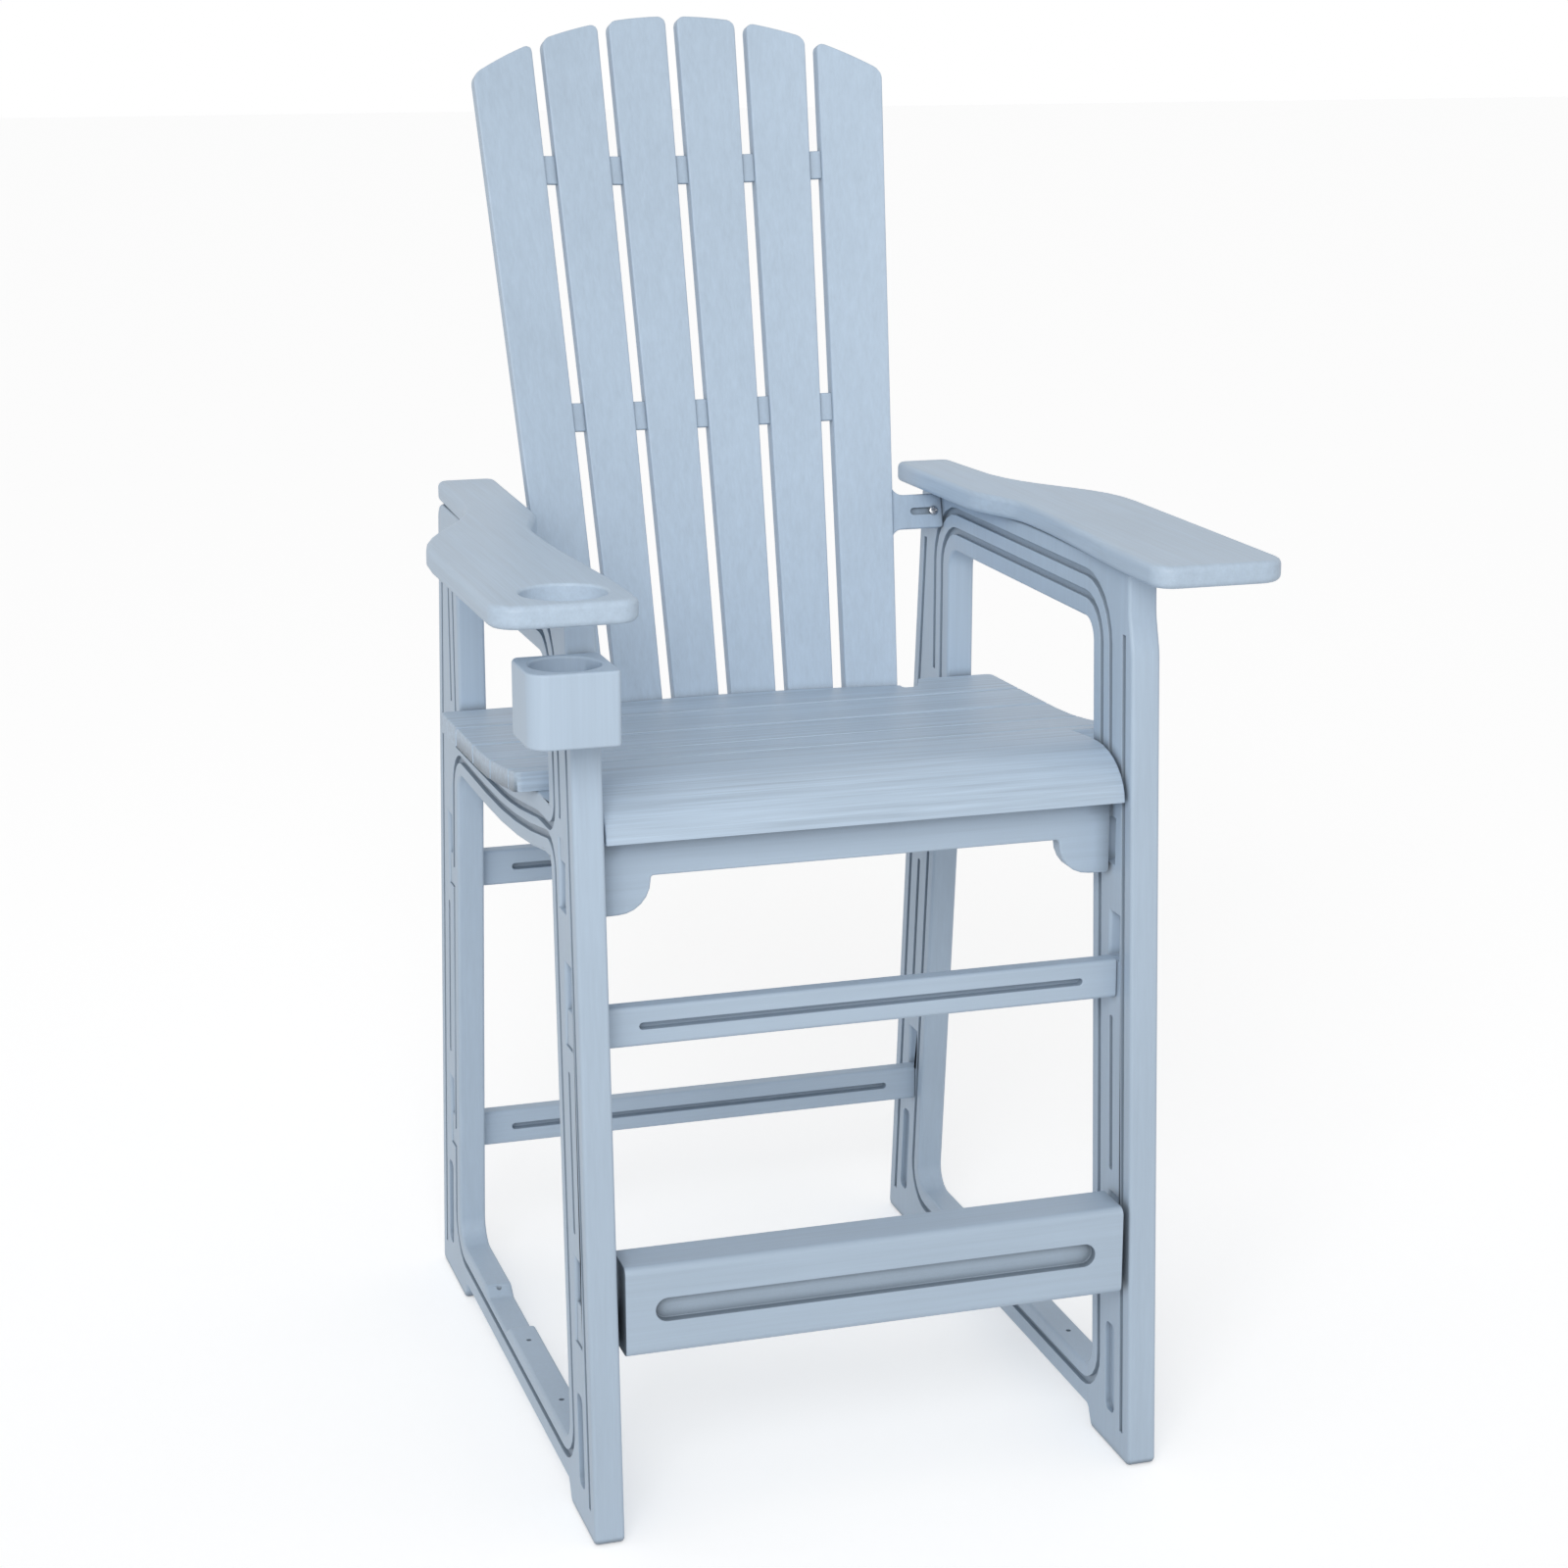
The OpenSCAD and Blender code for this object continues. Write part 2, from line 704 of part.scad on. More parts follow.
// Room behind the seat for the curved back
slot_drop = foot_h + 20;
slot_rise = foot_h + 60;
slot_half_w = back_half + 6;
module back_slot() {
    on_back() intersection() {
        translate([0, -back_r, -slot_drop]) difference() {
            cylinder(r = back_r + back_t + 40, h = slot_rise, $fn = large_fn);
            translate([0, 0, -through])
                cylinder(r = back_r - 3 * play, h = slot_rise + 2 * through, $fn = large_fn);
        }
        translate([-slot_half_w, -100, -slot_drop]) cube([2 * slot_half_w, 200, slot_rise]);
    }
}

// Notch in the seat's rear edge beside the back
back_notch = rounded([
    [back_half + 2, seat_rear - notch_d, 2], [back_half + notch_w, seat_rear - notch_d, 3],
    [back_half + notch_w + 16, seat_rear + through, 0], [back_half + 2, seat_rear + through, 0]
]);

// Section of a batten; the top follows the seat, and more adds to its height there
module batten_section(y, more) {
    front = y - batten_d / 2;
    rear = y + batten_d / 2;
    polygon([
        [front, batten_low(y) - more], [rear, batten_low(y) - more],
        [rear, batten_top(rear)], [front, batten_top(front)]
    ]);
}

module batten(y) {
    difference() {
        along_x(inner_x + tenon) batten_section(y, 0);
        seat_screw_places(y) {
            cylinder(d = screw_d + 2 * play, h = frame_h, $fn = round_fn);
            cylinder(d = screw_head + 2 * head_clear, h = batten_top(y) - batten_grip, $fn = round_fn);
        }
    }
}

module front_seat_batten() {
    color(paint) centred() batten(batten_ys[0]);
}

module rear_seat_batten() {
    color(paint) centred() batten(batten_ys[1]);
}

module rounded_bar(half, y, z, d, h, r) {
    along_x(half) polygon(rounded([
        [y, z, r], [y + d, z, r], [y + d, z + h, r], [y, z + h, r]
    ]));
}

// Long slot with round ends, cut into a bar from its front face
module long_slot(y, z, h) {
    translate([0, y + slot_d, z]) rotate([90, 0, 0]) linear_extrude(slot_d + through) {
        square([2 * slot_half - h, h], center = true);
        for (s = [-1, 1]) translate([s * (slot_half - h / 2), 0]) circle(d = h, $fn = round_fn);
    }
}

module front_apron() {
    half = seat_half;
    color(paint) centred() {
        difference() {
            translate([0, apron_y + apron_t, 0]) rotate([90, 0, 0]) linear_extrude(apron_t)
                polygon(rounded(concat(
                    [[half, apron_z - bracket_h, 4], [half, seat_top(crest_y), 0]],
                    [[-half, seat_top(crest_y), 0], [-half, apron_z - bracket_h, 4]],
                    [[-half + bracket_w, apron_z - bracket_h, bracket_h - 4]],
                    [[-half + bracket_w, apron_z, 3], [half - bracket_w, apron_z, 3]],
                    [[half - bracket_w, apron_z - bracket_h, bracket_h - 4]]
                )));
            along_x(half + through) polygon(concat(
                [for (i = [0:8]) nose_under[i] - [0, play]],
                [[crest_y, seat_under(crest_y) - play], [frame_depth, seat_under(crest_y) - play]],
                [[frame_depth, frame_h], [0, frame_h]]
            ));
        }
        both_sides() hook(apron_hook, half);
    }
}

module mid_front_bar() {
    color(paint) centred() {
        difference() {
            rounded_bar(inner_x - play, mid_bar_y, mid_z, bar_t, bar_h, bar_r);
            long_slot(mid_bar_y, mid_z + bar_h / 2, slot_h);
        }
        both_sides() hook(mid_hook, inner_x - play);
    }
}

module footrest() {
    color(paint) centred() {
        difference() {
            rounded_bar(inner_x - rest_gap, rest_y, rest_z, rest_d, rest_h, rest_r);
            long_slot(rest_y, rest_z + rest_h / 2, rest_slot_h);
        }
        both_sides() hook(rest_hook, inner_x - rest_gap);
    }
}

module lower_rear_bar() {
    color(paint) centred() {
        difference() {
            rounded_bar(inner_x - play, low_rear_y, low_rear_z, bar_t, bar_h, bar_r);
            long_slot(low_rear_y, low_rear_z + bar_h / 2, slot_h);
        }
        both_sides() hook(low_rear_hook, inner_x - play);
    }
}

module upper_rear_bar() {
    color(paint) centred() {
        difference() {
            rounded_bar(inner_x - play, high_rear_y, high_rear_z, bar_t, bar_h, bar_r);
            long_slot(high_rear_y, high_rear_z + bar_h / 2, slot_h);
        }
        both_sides() hook(high_rear_hook, inner_x - play);
    }
}

// The back is drawn in its own plane: x across, y through its thickness, z along it
function half_at(z) = back_half + tan(back_fan) * z;
function gap_at(z) = gap_low + (gap_high - gap_low) * z / back_h;
function face_y(x) = sqrt(pow(back_r, 2) - pow(x, 2)) - back_r;
top_centre = back_h - top_r;
function arc_top(x) = top_centre + sqrt(pow(top_r, 2) - pow(x, 2));

// x of a slat's edge: k counts the gaps from the middle, side is -1 or 1
function edge_x(k, side, z) =
    abs(k) == slats / 2 ? sign(k) * half_at(z) : half_at(z) * k * 2 / slats + side * gap_at(z) / 2;
function edge_top(k, side) =
    let (z1 = arc_top(edge_x(k, side, back_h)))
    arc_top(edge_x(k, side, z1));

module curved_shell(from, t, low, high) {
    translate([0, -back_r, low]) difference() {
        cylinder(r = back_r + from + t, h = high - low, $fn = large_fn);
        translate([0, 0, -through])
            cylinder(r = back_r + from, h = high - low + 2 * through, $fn = large_fn);
    }
}

// Extrudes a drawing in x and z through the back's depth
module through_back() {
    translate([0, back_t + 20, 0]) rotate([90, 0, 0]) linear_extrude(120) children();
}

module slat(k) {
    low = -foot_h;
    x0 = edge_x(k, 1, edge_top(k, 1));
    x1 = edge_x(k + 1, -1, edge_top(k + 1, -1));
    polygon(rounded([
        [edge_x(k, 1, low), low, 0], [edge_x(k + 1, -1, low), low, 0],
        [x1, edge_top(k + 1, -1), slat_r],
        for (i = [3:-1:1]) let (x = x0 + (x1 - x0) * i / 4) [x, arc_top(x), 0],
        [x0, edge_top(k, 1), slat_r]
    ]));
}

module ear_outline() {
    low = ear_z - ear_h / 2;
    high = ear_z + ear_h / 2;
    foot = low - 2 * ear_blend;
    head = high + 2 * ear_blend;
    root = half_at(foot) - 20;
    polygon(rounded([
        [root, foot, 0], [half_at(foot), foot, 0], [half_at(low), low, ear_blend],
        [inner_x - play, low, 3], [inner_x - play, high, 3],
        [half_at(high), high, ear_blend], [half_at(head), head, 0], [root, head, 0]
    ]));
}

// Puts a shape at the right ear's screw, with z pointing into the lug
module ear_screw_place() {
    translate([ear_x, ear_rear + play, ear_z]) rotate([-90, 0, 0]) children();
}

// Slot in an ear's face that leads to its screw
ear_slot_l = 20;
ear_slot_h = 8;
ear_slot_d = 3;
module ear_slot() {
    translate([ear_x - ear_slot_l, ear_front - through, ear_z - ear_slot_h / 2])
        cube([ear_slot_l, ear_slot_d + through, ear_slot_h]);
}

foot_screw_xs = [for (i = [-1.5:1.5]) i * back_half / 2];
foot_screw_z = -foot_h + foot_lift + foot_rail_h / 2;

module foot_screw_places() {
    for (x = foot_screw_xs) translate([x, face_y(x), foot_screw_z]) rotate([-90, 0, 0]) children();
}

module backrest_panel() {
    color(paint) centred() on_back() difference() {
        union() {
            intersection() {
                curved_shell(0, back_t, -foot_h, back_h + 10);
                through_back() {
                    for (k = [-slats / 2:slats / 2 - 1]) slat(k);
                    polygon([[-half_at(-foot_h), -foot_h], [half_at(-foot_h), -foot_h],
                             [half_at(-20), -20], [-half_at(-20), -20]]);
                }
            }
            for (z = [bridge_low, bridge_high]) intersection() {
                curved_shell(bridge_set, back_t - 2 * bridge_set, z, z + bridge_h);
                translate([-half_at(z) + 20, -200, z]) cube([2 * half_at(z) - 40, 400, bridge_h]);
            }
            translate([0, ear_rear, 0]) rotate([90, 0, 0]) linear_extrude(ear_t)
                both_sides() ear_outline();
        }
        both_sides() {
            ear_screw_place() translate([0, 0, -back_t])
                cylinder(d = screw_d + 2 * play, h = 2 * back_t, $fn = round_fn);
            ear_slot();
        }
        foot_screw_places() {
            translate([0, 0, -through])
                cylinder(d = screw_d + 2 * play, h = back_t + 2 * through, $fn = round_fn);
            translate([0, 0, foot_grip - back_t])
                cylinder(d = screw_head + head_clear, h = 2 * (back_t - foot_grip), $fn = round_fn);
        }
    }
}

module back_foot_rail() {
    color(paint) centred() difference() {
        along_x(inner_x + tenon) translate([foot_rail_y, foot_rail_z])
            square([foot_rail_d, foot_rail_h]);
        on_back() {
            intersection() {
                translate([0, -back_r, -2 * foot_h])
                    cylinder(r = back_r + back_t + play, h = 4 * foot_h, $fn = large_fn);
                translate([-slot_half_w, -back_r, -2 * foot_h])
                    cube([2 * slot_half_w, 2 * back_r, 4 * foot_h]);
            }
            foot_screw_places()
                cylinder(d = screw_d + 2 * play, h = back_t + screw_bite + 2 * play, $fn = round_fn);
        }
    }
}

// Outline of an arm from above, on the right: its rear end, the depth where the narrow
// part begins, the length of the taper, and how far along the taper the curve turns in
arm_front = -arm_reach;
function arm_outline(rear, waist_y, taper, turn) =
    let (full = waist_y - taper)
    rounded(concat(
        [[arm_inner_rear, rear, 12], [arm_inner, arm_front, 22], [arm_half, arm_front, 28]],
        [for (p = curve([arm_half, full], [arm_half, full + 0.44 * taper],
                        [arm_waist + 3, full + turn * taper], [arm_waist, waist_y], 10))
            [p[0], p[1], 0]],
        [[arm_waist, waist_y, 0], [arm_waist - 6, rear, 12]]
    ));

module arm_board(outline) {
    translate([0, 0, frame_h]) difference() {
        linear_extrude(arm_t) polygon(outline);
        for (y = arm_screw_ys) translate([inner_x + frame_t / 2, y, -through])
            cylinder(d = screw_d + 2 * play, h = screw_bite + through + play, $fn = round_fn);
    }
}

// Opening for a cup, with a rounded rim at the top and below
module cup_opening() {
    r = 3;
    arc = [for (i = [0:4]) [r * (1 - sin(22.5 * i)), r * (1 - cos(22.5 * i))]];
    translate([cup_x, cup_y, frame_h]) rotate_extrude($fn = large_fn / 3) polygon(concat(
        [[0, -through], [cup_open_r + r, -through]],
        [for (p = arc) [cup_open_r + p[0], p[1]]],
        [for (i = [4:-1:0]) [cup_open_r + arc[i][0], arm_t - arc[i][1]]],
        [[cup_open_r + r, arm_t + through], [0, arm_t + through]]
    ));
}

module left_arm() {
    rear = rear_edge(frame_h) + left_arm_end;
    color(paint) centred() mirror([1, 0, 0]) difference() {
        arm_board(arm_outline(rear, post_y - left_waist_y, left_taper, 0.62));
        cup_opening();
    }
}

module right_arm() {
    rear = rear_edge(frame_h) + right_arm_end;
    color(paint) centred() arm_board(arm_outline(rear, post_y - right_waist_y, right_taper, 0.47));
}

module cup_holder() {
    outer = cup_x + cup_well_r + cup_wall;
    front = cup_y - cup_well_r - cup_wall;
    back = cup_back + 10;
    color(paint) centred() mirror([1, 0, 0]) difference() {
        translate([0, 0, cup_z]) linear_extrude(cup_h) polygon(rounded([
            [cup_inner, front, 5], [outer, front, 20], [outer, back, 20], [cup_inner, back, 2]
        ]));
        translate([cup_x, cup_y, cup_z + cup_floor])
            cylinder(r = cup_well_r, h = cup_h, $fn = large_fn / 3);
        upright() translate([0, 0, cup_inner - through]) linear_extrude(outer - cup_inner + 2 * through)
            polygon([[front_edge(0), 0], [front_edge(frame_h), frame_h],
                     [frame_depth, frame_h], [frame_depth, 0]]);
        for (z = cup_screw_zs) translate([cup_screw_x, 0, z]) rotate([-90, 0, 0]) {
            cylinder(d = screw_d + 2 * play, h = 2 * cup_back, $fn = round_fn);
            translate([0, 0, cup_y])
                cylinder(d = screw_head + head_clear, h = cup_seat - cup_y, $fn = round_fn);
        }
    }
}

// Screw with its head's seat at the origin and its shank along z
module screw(length) {
    translate([0, 0, -screw_head_t]) difference() {
        cylinder(d = screw_head, h = screw_head_t, $fn = round_fn);
        translate([0, 0, -through]) cylinder(d = screw_d * 0.8, h = through + screw_head_t * 0.6, $fn = 6);
    }
    cylinder(d = screw_d, h = length, $fn = round_fn);
}

module seat_screws() {
    color(steel) centred() for (y = batten_ys) seat_screw_places(y)
        translate([0, 0, batten_top(y) - batten_grip]) screw(batten_grip + screw_bite);
}

module back_foot_screws() {
    color(steel) centred() on_back() foot_screw_places()
        translate([0, 0, back_t - foot_grip]) screw(foot_grip + screw_bite);
}

module ear_screws() {
    color(steel) centred() on_back() both_sides() ear_screw_place()
        translate([0, 0, -ear_t - play]) screw(ear_t + screw_bite);
}

module arm_screws() {
    color(steel) centred() both_sides() for (y = arm_screw_ys)
        translate([inner_x + frame_t / 2, y, arm_screw_z]) screw(frame_h - arm_screw_z + screw_bite);
}

module cup_holder_screws() {
    color(steel) centred() mirror([1, 0, 0]) for (z = cup_screw_zs)
        translate([cup_screw_x, cup_seat, z]) rotate([-90, 0, 0]) screw(cup_grip + screw_bite);
}

left_side_frame();
right_side_frame();
seat_panel();
front_seat_batten();
rear_seat_batten();
front_apron();
mid_front_bar();
footrest();
lower_rear_bar();
upper_rear_bar();
back_foot_rail();
backrest_panel();
left_arm();
right_arm();
cup_holder();
seat_screws();
back_foot_screws();
ear_screws();
arm_screws();
cup_holder_screws();
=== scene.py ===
"""Adirondack bar stool in moulded plastic, dressed for a studio picture.

Metres throughout. The sitter faces -Y, X runs across the stool and the floor is Z = 0.
"""

import math

import bmesh
import bpy
from mathutils import Matrix, Vector


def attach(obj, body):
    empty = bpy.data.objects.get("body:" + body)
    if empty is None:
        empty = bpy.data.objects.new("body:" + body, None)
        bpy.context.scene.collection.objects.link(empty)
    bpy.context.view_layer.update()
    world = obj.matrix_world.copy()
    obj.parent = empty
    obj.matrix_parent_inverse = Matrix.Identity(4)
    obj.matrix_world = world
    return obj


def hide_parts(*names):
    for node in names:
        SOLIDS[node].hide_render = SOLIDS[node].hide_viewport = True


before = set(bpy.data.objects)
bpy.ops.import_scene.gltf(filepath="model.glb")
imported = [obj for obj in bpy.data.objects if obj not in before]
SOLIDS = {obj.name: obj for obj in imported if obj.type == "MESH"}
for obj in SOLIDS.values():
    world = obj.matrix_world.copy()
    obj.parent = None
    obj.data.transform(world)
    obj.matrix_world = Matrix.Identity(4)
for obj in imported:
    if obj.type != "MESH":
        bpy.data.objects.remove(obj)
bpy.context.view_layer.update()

MM = 0.001

# ---------------------------------------------------------------- camera

CAMERA_PLACE = Vector((-0.9391, -3.0298, 1.4851))
CAMERA_AIM = Vector((-0.0254, -0.1106, 0.6830))
LENS = 71.64
FILM = 36.0
SIGHT = 200

lens = bpy.data.cameras.new("studio_camera")
lens.lens = LENS
lens.sensor_width = FILM
lens.clip_end = SIGHT
camera = bpy.data.objects.new("studio_camera", lens)
camera.location = CAMERA_PLACE
camera.rotation_euler = (CAMERA_AIM - CAMERA_PLACE).to_track_quat("-Z", "Y").to_euler()
bpy.context.scene.collection.objects.link(camera)
bpy.context.scene.camera = camera
bpy.context.scene.view_settings.view_transform = "Standard"

# ---------------------------------------------------------------- node trees as formulas


class Field:
    """A value in a node tree that can be added, multiplied and so on."""

    def __init__(self, sheet, socket):
        self.sheet, self.socket = sheet, socket

    def __add__(self, other):
        return self.sheet.math("ADD", self, other)

    def __radd__(self, other):
        return self.sheet.math("ADD", other, self)

    def __sub__(self, other):
        return self.sheet.math("SUBTRACT", self, other)

    def __rsub__(self, other):
        return self.sheet.math("SUBTRACT", other, self)

    def __mul__(self, other):
        return self.sheet.math("MULTIPLY", self, other)

    def __rmul__(self, other):
        return self.sheet.math("MULTIPLY", other, self)

    def __truediv__(self, other):
        return self.sheet.math("DIVIDE", self, other)

    def __rtruediv__(self, other):
        return self.sheet.math("DIVIDE", other, self)

    def root(self):
        return self.sheet.math("SQRT", self)


class Sheet:
    """Writes nodes into a shader or geometry tree."""

    def __init__(self, tree):
        self.tree = tree

    def put(self, socket, value):
        if isinstance(value, Field):
            value = value.socket
        if isinstance(value, bpy.types.NodeSocket):
            self.tree.links.new(value, socket)
        else:
            socket.default_value = value

    def add(self, kind, inputs=None, **settings):
        node = self.tree.nodes.new(kind)
        for name, value in settings.items():
            setattr(node, name, value)
        for name, value in (inputs or {}).items():
            self.put(node.inputs[name], value)
        return node

    def math(self, operation, *values):
        node = self.add("ShaderNodeMath", operation=operation)
        for socket, value in zip(node.inputs, values):
            self.put(socket, value)
        return Field(self, node.outputs[0])

    def low(self, a, b):
        return self.math("MINIMUM", a, b)

    def high(self, a, b):
        return self.math("MAXIMUM", a, b)

    def vector(self, x, y, z):
        return self.add("ShaderNodeCombineXYZ", {"X": x, "Y": y, "Z": z}).outputs[0]


# ---------------------------------------------------------------- materials

# The plastic's own colour, a light steel blue, and how far the grain darkens and lightens it
BLUE = (0.470, 0.578, 0.700)
DARK_GRAIN, PALE_GRAIN = 0.86, 1.10
# Grain: lines to a metre, the share of that along the grain, and levels of detail
FINE_GRAIN = (420, 0.018, 3.0)
BROAD_GRAIN = (150, 0.02, 3.0)
CLOUDS = (9, 0.5, 2.0)
FINE_SHARE, BROAD_SHARE = 0.45, 0.55
GRAIN_CONTRAST, CLOUD_CONTRAST = 0.55, 0.22
GRAIN_HEIGHT = 0.35 * MM
GRAIN_RELIEF = 0.35
PLASTIC_ROUGHNESS, ROUGHER = 0.40, 0.16
PLASTIC_IOR = 1.46
# Reach of the shade painted into the colour in grooves and corners, and its share of the colour
PAINTED_SHADE_REACH = 14 * MM
PAINTED_SHADE = 0.45
# Above 1, so that a nearly open surface keeps its whole colour
OPEN_SHADE = 1.25

STEEL = (0.55, 0.56, 0.58)
DARK_STEEL, PALE_STEEL = 0.8, 1.15
STEEL_GRAIN = 900.0
STEEL_GRAIN_HEIGHT = 0.05 * MM
STEEL_ROUGHNESS, STEEL_ROUGHER = 0.28, 0.2


def tinted(colour, factor):
    return tuple(min(1.0, c * factor) for c in colour) + (1.0,)


def blank(owner):
    """An empty sheet on the node tree of a material or a world."""
    owner.use_nodes = True
    owner.node_tree.nodes.clear()
    return Sheet(owner.node_tree)


def surfaced(name, draw):
    """A new material, whose surface is what a function draws on its sheet."""
    material = bpy.data.materials.new(name)
    sheet = blank(material)
    surface = draw(sheet, sheet.add("ShaderNodeTexCoord").outputs["Object"])
    sheet.add("ShaderNodeOutputMaterial", {"Surface": surface.outputs[0]})
    return material


def moulded_plastic(name, along, grain=1.0, tilt=0.0, painted_shade=PAINTED_SHADE, reach=PAINTED_SHADE_REACH):
    """Matt plastic with a fine wood grain that runs along one axis of the stool."""
    def draw(sheet, place):
        def streaks(across, stretch, detail):
            scale = [across] * 3
            scale[along] = across * stretch
            turned = sheet.add("ShaderNodeMapping", {
                "Vector": place, "Rotation": (tilt, 0, 0), "Scale": tuple(scale)})
            noise = sheet.add("ShaderNodeTexNoise", {
                "Vector": turned.outputs[0], "Scale": 1.0, "Detail": detail, "Roughness": 0.6})
            return Field(sheet, noise.outputs["Fac"])

        broad = streaks(*BROAD_GRAIN)
        relief = streaks(*FINE_GRAIN) * FINE_SHARE + broad * BROAD_SHARE
        tone = ((relief - 0.5) * (GRAIN_CONTRAST * grain)
                + (streaks(*CLOUDS) - 0.5) * CLOUD_CONTRAST + 0.5)
        ramp = sheet.add("ShaderNodeValToRGB", {"Fac": tone})
        dark, pale = ramp.color_ramp.elements
        dark.position, pale.position = 0.30, 0.70
        dark.color, pale.color = tinted(BLUE, DARK_GRAIN), tinted(BLUE, PALE_GRAIN)
        # Painted shade: the colour darkens where the surface is hemmed in, in grooves, corners and
        # under overhangs
        near = sheet.add("ShaderNodeAmbientOcclusion", {"Distance": reach}, samples=8)
        open_share = Field(sheet, near.outputs["AO"])
        shade = sheet.low(open_share * open_share * (OPEN_SHADE - painted_shade) + painted_shade, 1.0)
        colour = sheet.add("ShaderNodeVectorMath", {0: ramp.outputs["Color"], 3: shade},
                           operation="SCALE")
        bump = sheet.add("ShaderNodeBump", {
            "Height": relief, "Strength": GRAIN_RELIEF * grain, "Distance": GRAIN_HEIGHT})
        return sheet.add("ShaderNodeBsdfPrincipled", {
            "Base Color": colour.outputs[0], "Roughness": PLASTIC_ROUGHNESS + broad * ROUGHER,
            "Normal": bump.outputs[0], "IOR": PLASTIC_IOR})

    return surfaced(name, draw)


def brushed_steel(name):
    """Plain stainless steel with a fine grain."""
    def draw(sheet, place):
        noise = sheet.add("ShaderNodeTexNoise", {
            "Vector": place, "Scale": STEEL_GRAIN, "Detail": 2.0})
        grain = Field(sheet, noise.outputs["Fac"])
        ramp = sheet.add("ShaderNodeValToRGB", {"Fac": grain})
        dark, pale = ramp.color_ramp.elements
        dark.color, pale.color = tinted(STEEL, DARK_STEEL), tinted(STEEL, PALE_STEEL)
        bump = sheet.add("ShaderNodeBump", {
            "Height": grain, "Strength": 0.2, "Distance": STEEL_GRAIN_HEIGHT})
        return sheet.add("ShaderNodeBsdfPrincipled", {
            "Base Color": ramp.outputs["Color"], "Metallic": 1.0,
            "Roughness": STEEL_ROUGHNESS + grain * STEEL_ROUGHER, "Normal": bump.outputs[0]})

    return surfaced(name, draw)


BACK_TILT = math.radians(15.6)
# A farther, darker painted shade on the footrest and the apron: a painted shadow in the footrest's
# slot and under the seat's nose
FOOTBOARD_SHADE_REACH = 30 * MM
ACROSS, DEEP, UPRIGHT = range(3)
PLASTIC = {
    "frame": moulded_plastic("frame_plastic", UPRIGHT, grain=0.6),
    "seat": moulded_plastic("seat_plastic", ACROSS, grain=3.0, painted_shade=0.95),
    "arm": moulded_plastic("arm_plastic", DEEP, grain=1.2),
    "bar": moulded_plastic("bar_plastic", ACROSS, grain=0.6, painted_shade=0.7),
    "footboard": moulded_plastic("footboard_plastic", ACROSS, grain=0.8, painted_shade=0.25,
                                 reach=FOOTBOARD_SHADE_REACH),
    "back": moulded_plastic("back_plastic", UPRIGHT, grain=1.0, tilt=BACK_TILT),
}
SCREW_STEEL = brushed_steel("screw_steel")

# ---------------------------------------------------------------- pieces

# Edges over these angles stay sharp in the shading, and may be rounded in the mesh
SMOOTH = math.radians(40)
CORNER = math.radians(38)
# Two sharp edges that meet at less than this aren't rounded: their roundings would cross
NARROW = math.radians(28)
# What counts as one point, one flat, one straight line and one level
SAME_POINT = 0.02 * MM
SAME_FLAT = math.radians(0.4)
SAME_LINE = math.radians(0.3)
SAME_LEVEL = 0.03 * MM
# A face's normal lies along an axis if its share there is above this
ALONG = 0.999
# Flats with more corners than this are filled again after the rounding
PLAIN_CORNERS = 6


def linked(name, mesh, *modifiers):
    """New object at the origin; modifiers are (kind, settings) pairs that get applied."""
    piece = bpy.data.objects.new(name, mesh)
    bpy.context.scene.collection.objects.link(piece)
    for kind, settings in modifiers:
        modifier = piece.modifiers.new(kind.lower(), kind)
        for key, value in settings.items():
            setattr(modifier, key, value)
    if modifiers:
        applied(piece)
    return piece


def applied(piece):
    """Turns what the modifiers make into a plain mesh."""
    shown = piece.evaluated_get(bpy.context.evaluated_depsgraph_get())
    mesh = bpy.data.meshes.new_from_object(shown)
    piece.modifiers.clear()
    piece.data = mesh
    return piece


def smoothed(piece):
    """Smooth shading that keeps flat faces flat and corners sharp."""
    piece.data.shade_smooth()
    piece.data.set_sharp_from_angle(angle=SMOOTH)
    normals = piece.modifiers.new("normals", "WEIGHTED_NORMAL")
    normals.keep_sharp = True
    normals.weight = 80
    return applied(piece)


def finished(piece, material, slot, *nodes):
    """A whole piece gets its material and its place in the frame."""
    piece.data.materials.clear()
    piece.data.materials.append(material)
    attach(piece, "root")
    if nodes:
        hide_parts(*nodes)
    return piece


def merged(node):
    """The solid's mesh with its triangles joined and its flat faces made whole."""
    mesh = bmesh.new()
    mesh.from_mesh(SOLIDS[node].data)
    bmesh.ops.remove_doubles(mesh, verts=mesh.verts, dist=SAME_POINT)
    bmesh.ops.dissolve_limit(mesh, angle_limit=SAME_FLAT, verts=mesh.verts, edges=mesh.edges)
    return mesh


def rounding(mesh, widest, width_at):
    """Marks each sharp edge with the share of the widest rounding that it gets."""
    weight = mesh.edges.layers.float.new("bevel_weight_edge")
    for edge in mesh.edges:
        if len(edge.link_faces) == 2 and edge.calc_face_angle(0) > CORNER:
            edge[weight] = width_at(edge) / widest
    for vert in mesh.verts:
        marked = [e for e in vert.link_edges if e[weight] > 0]
        for i, first in enumerate(marked):
            for second in marked[:i]:
                a, b = (e.other_vert(vert).co - vert.co for e in (first, second))
                if a.length == 0 or b.length == 0 or a.angle(b) < NARROW:
                    first[weight] = second[weight] = 0.0


def span(face, axis):
    """A face's extent along an axis."""
    values = [v.co[axis] for v in face.verts]
    return max(values) - min(values)


def once(items):
    """The items once each; unlike a set's, their order is the same in every run."""
    return dict.fromkeys(items)


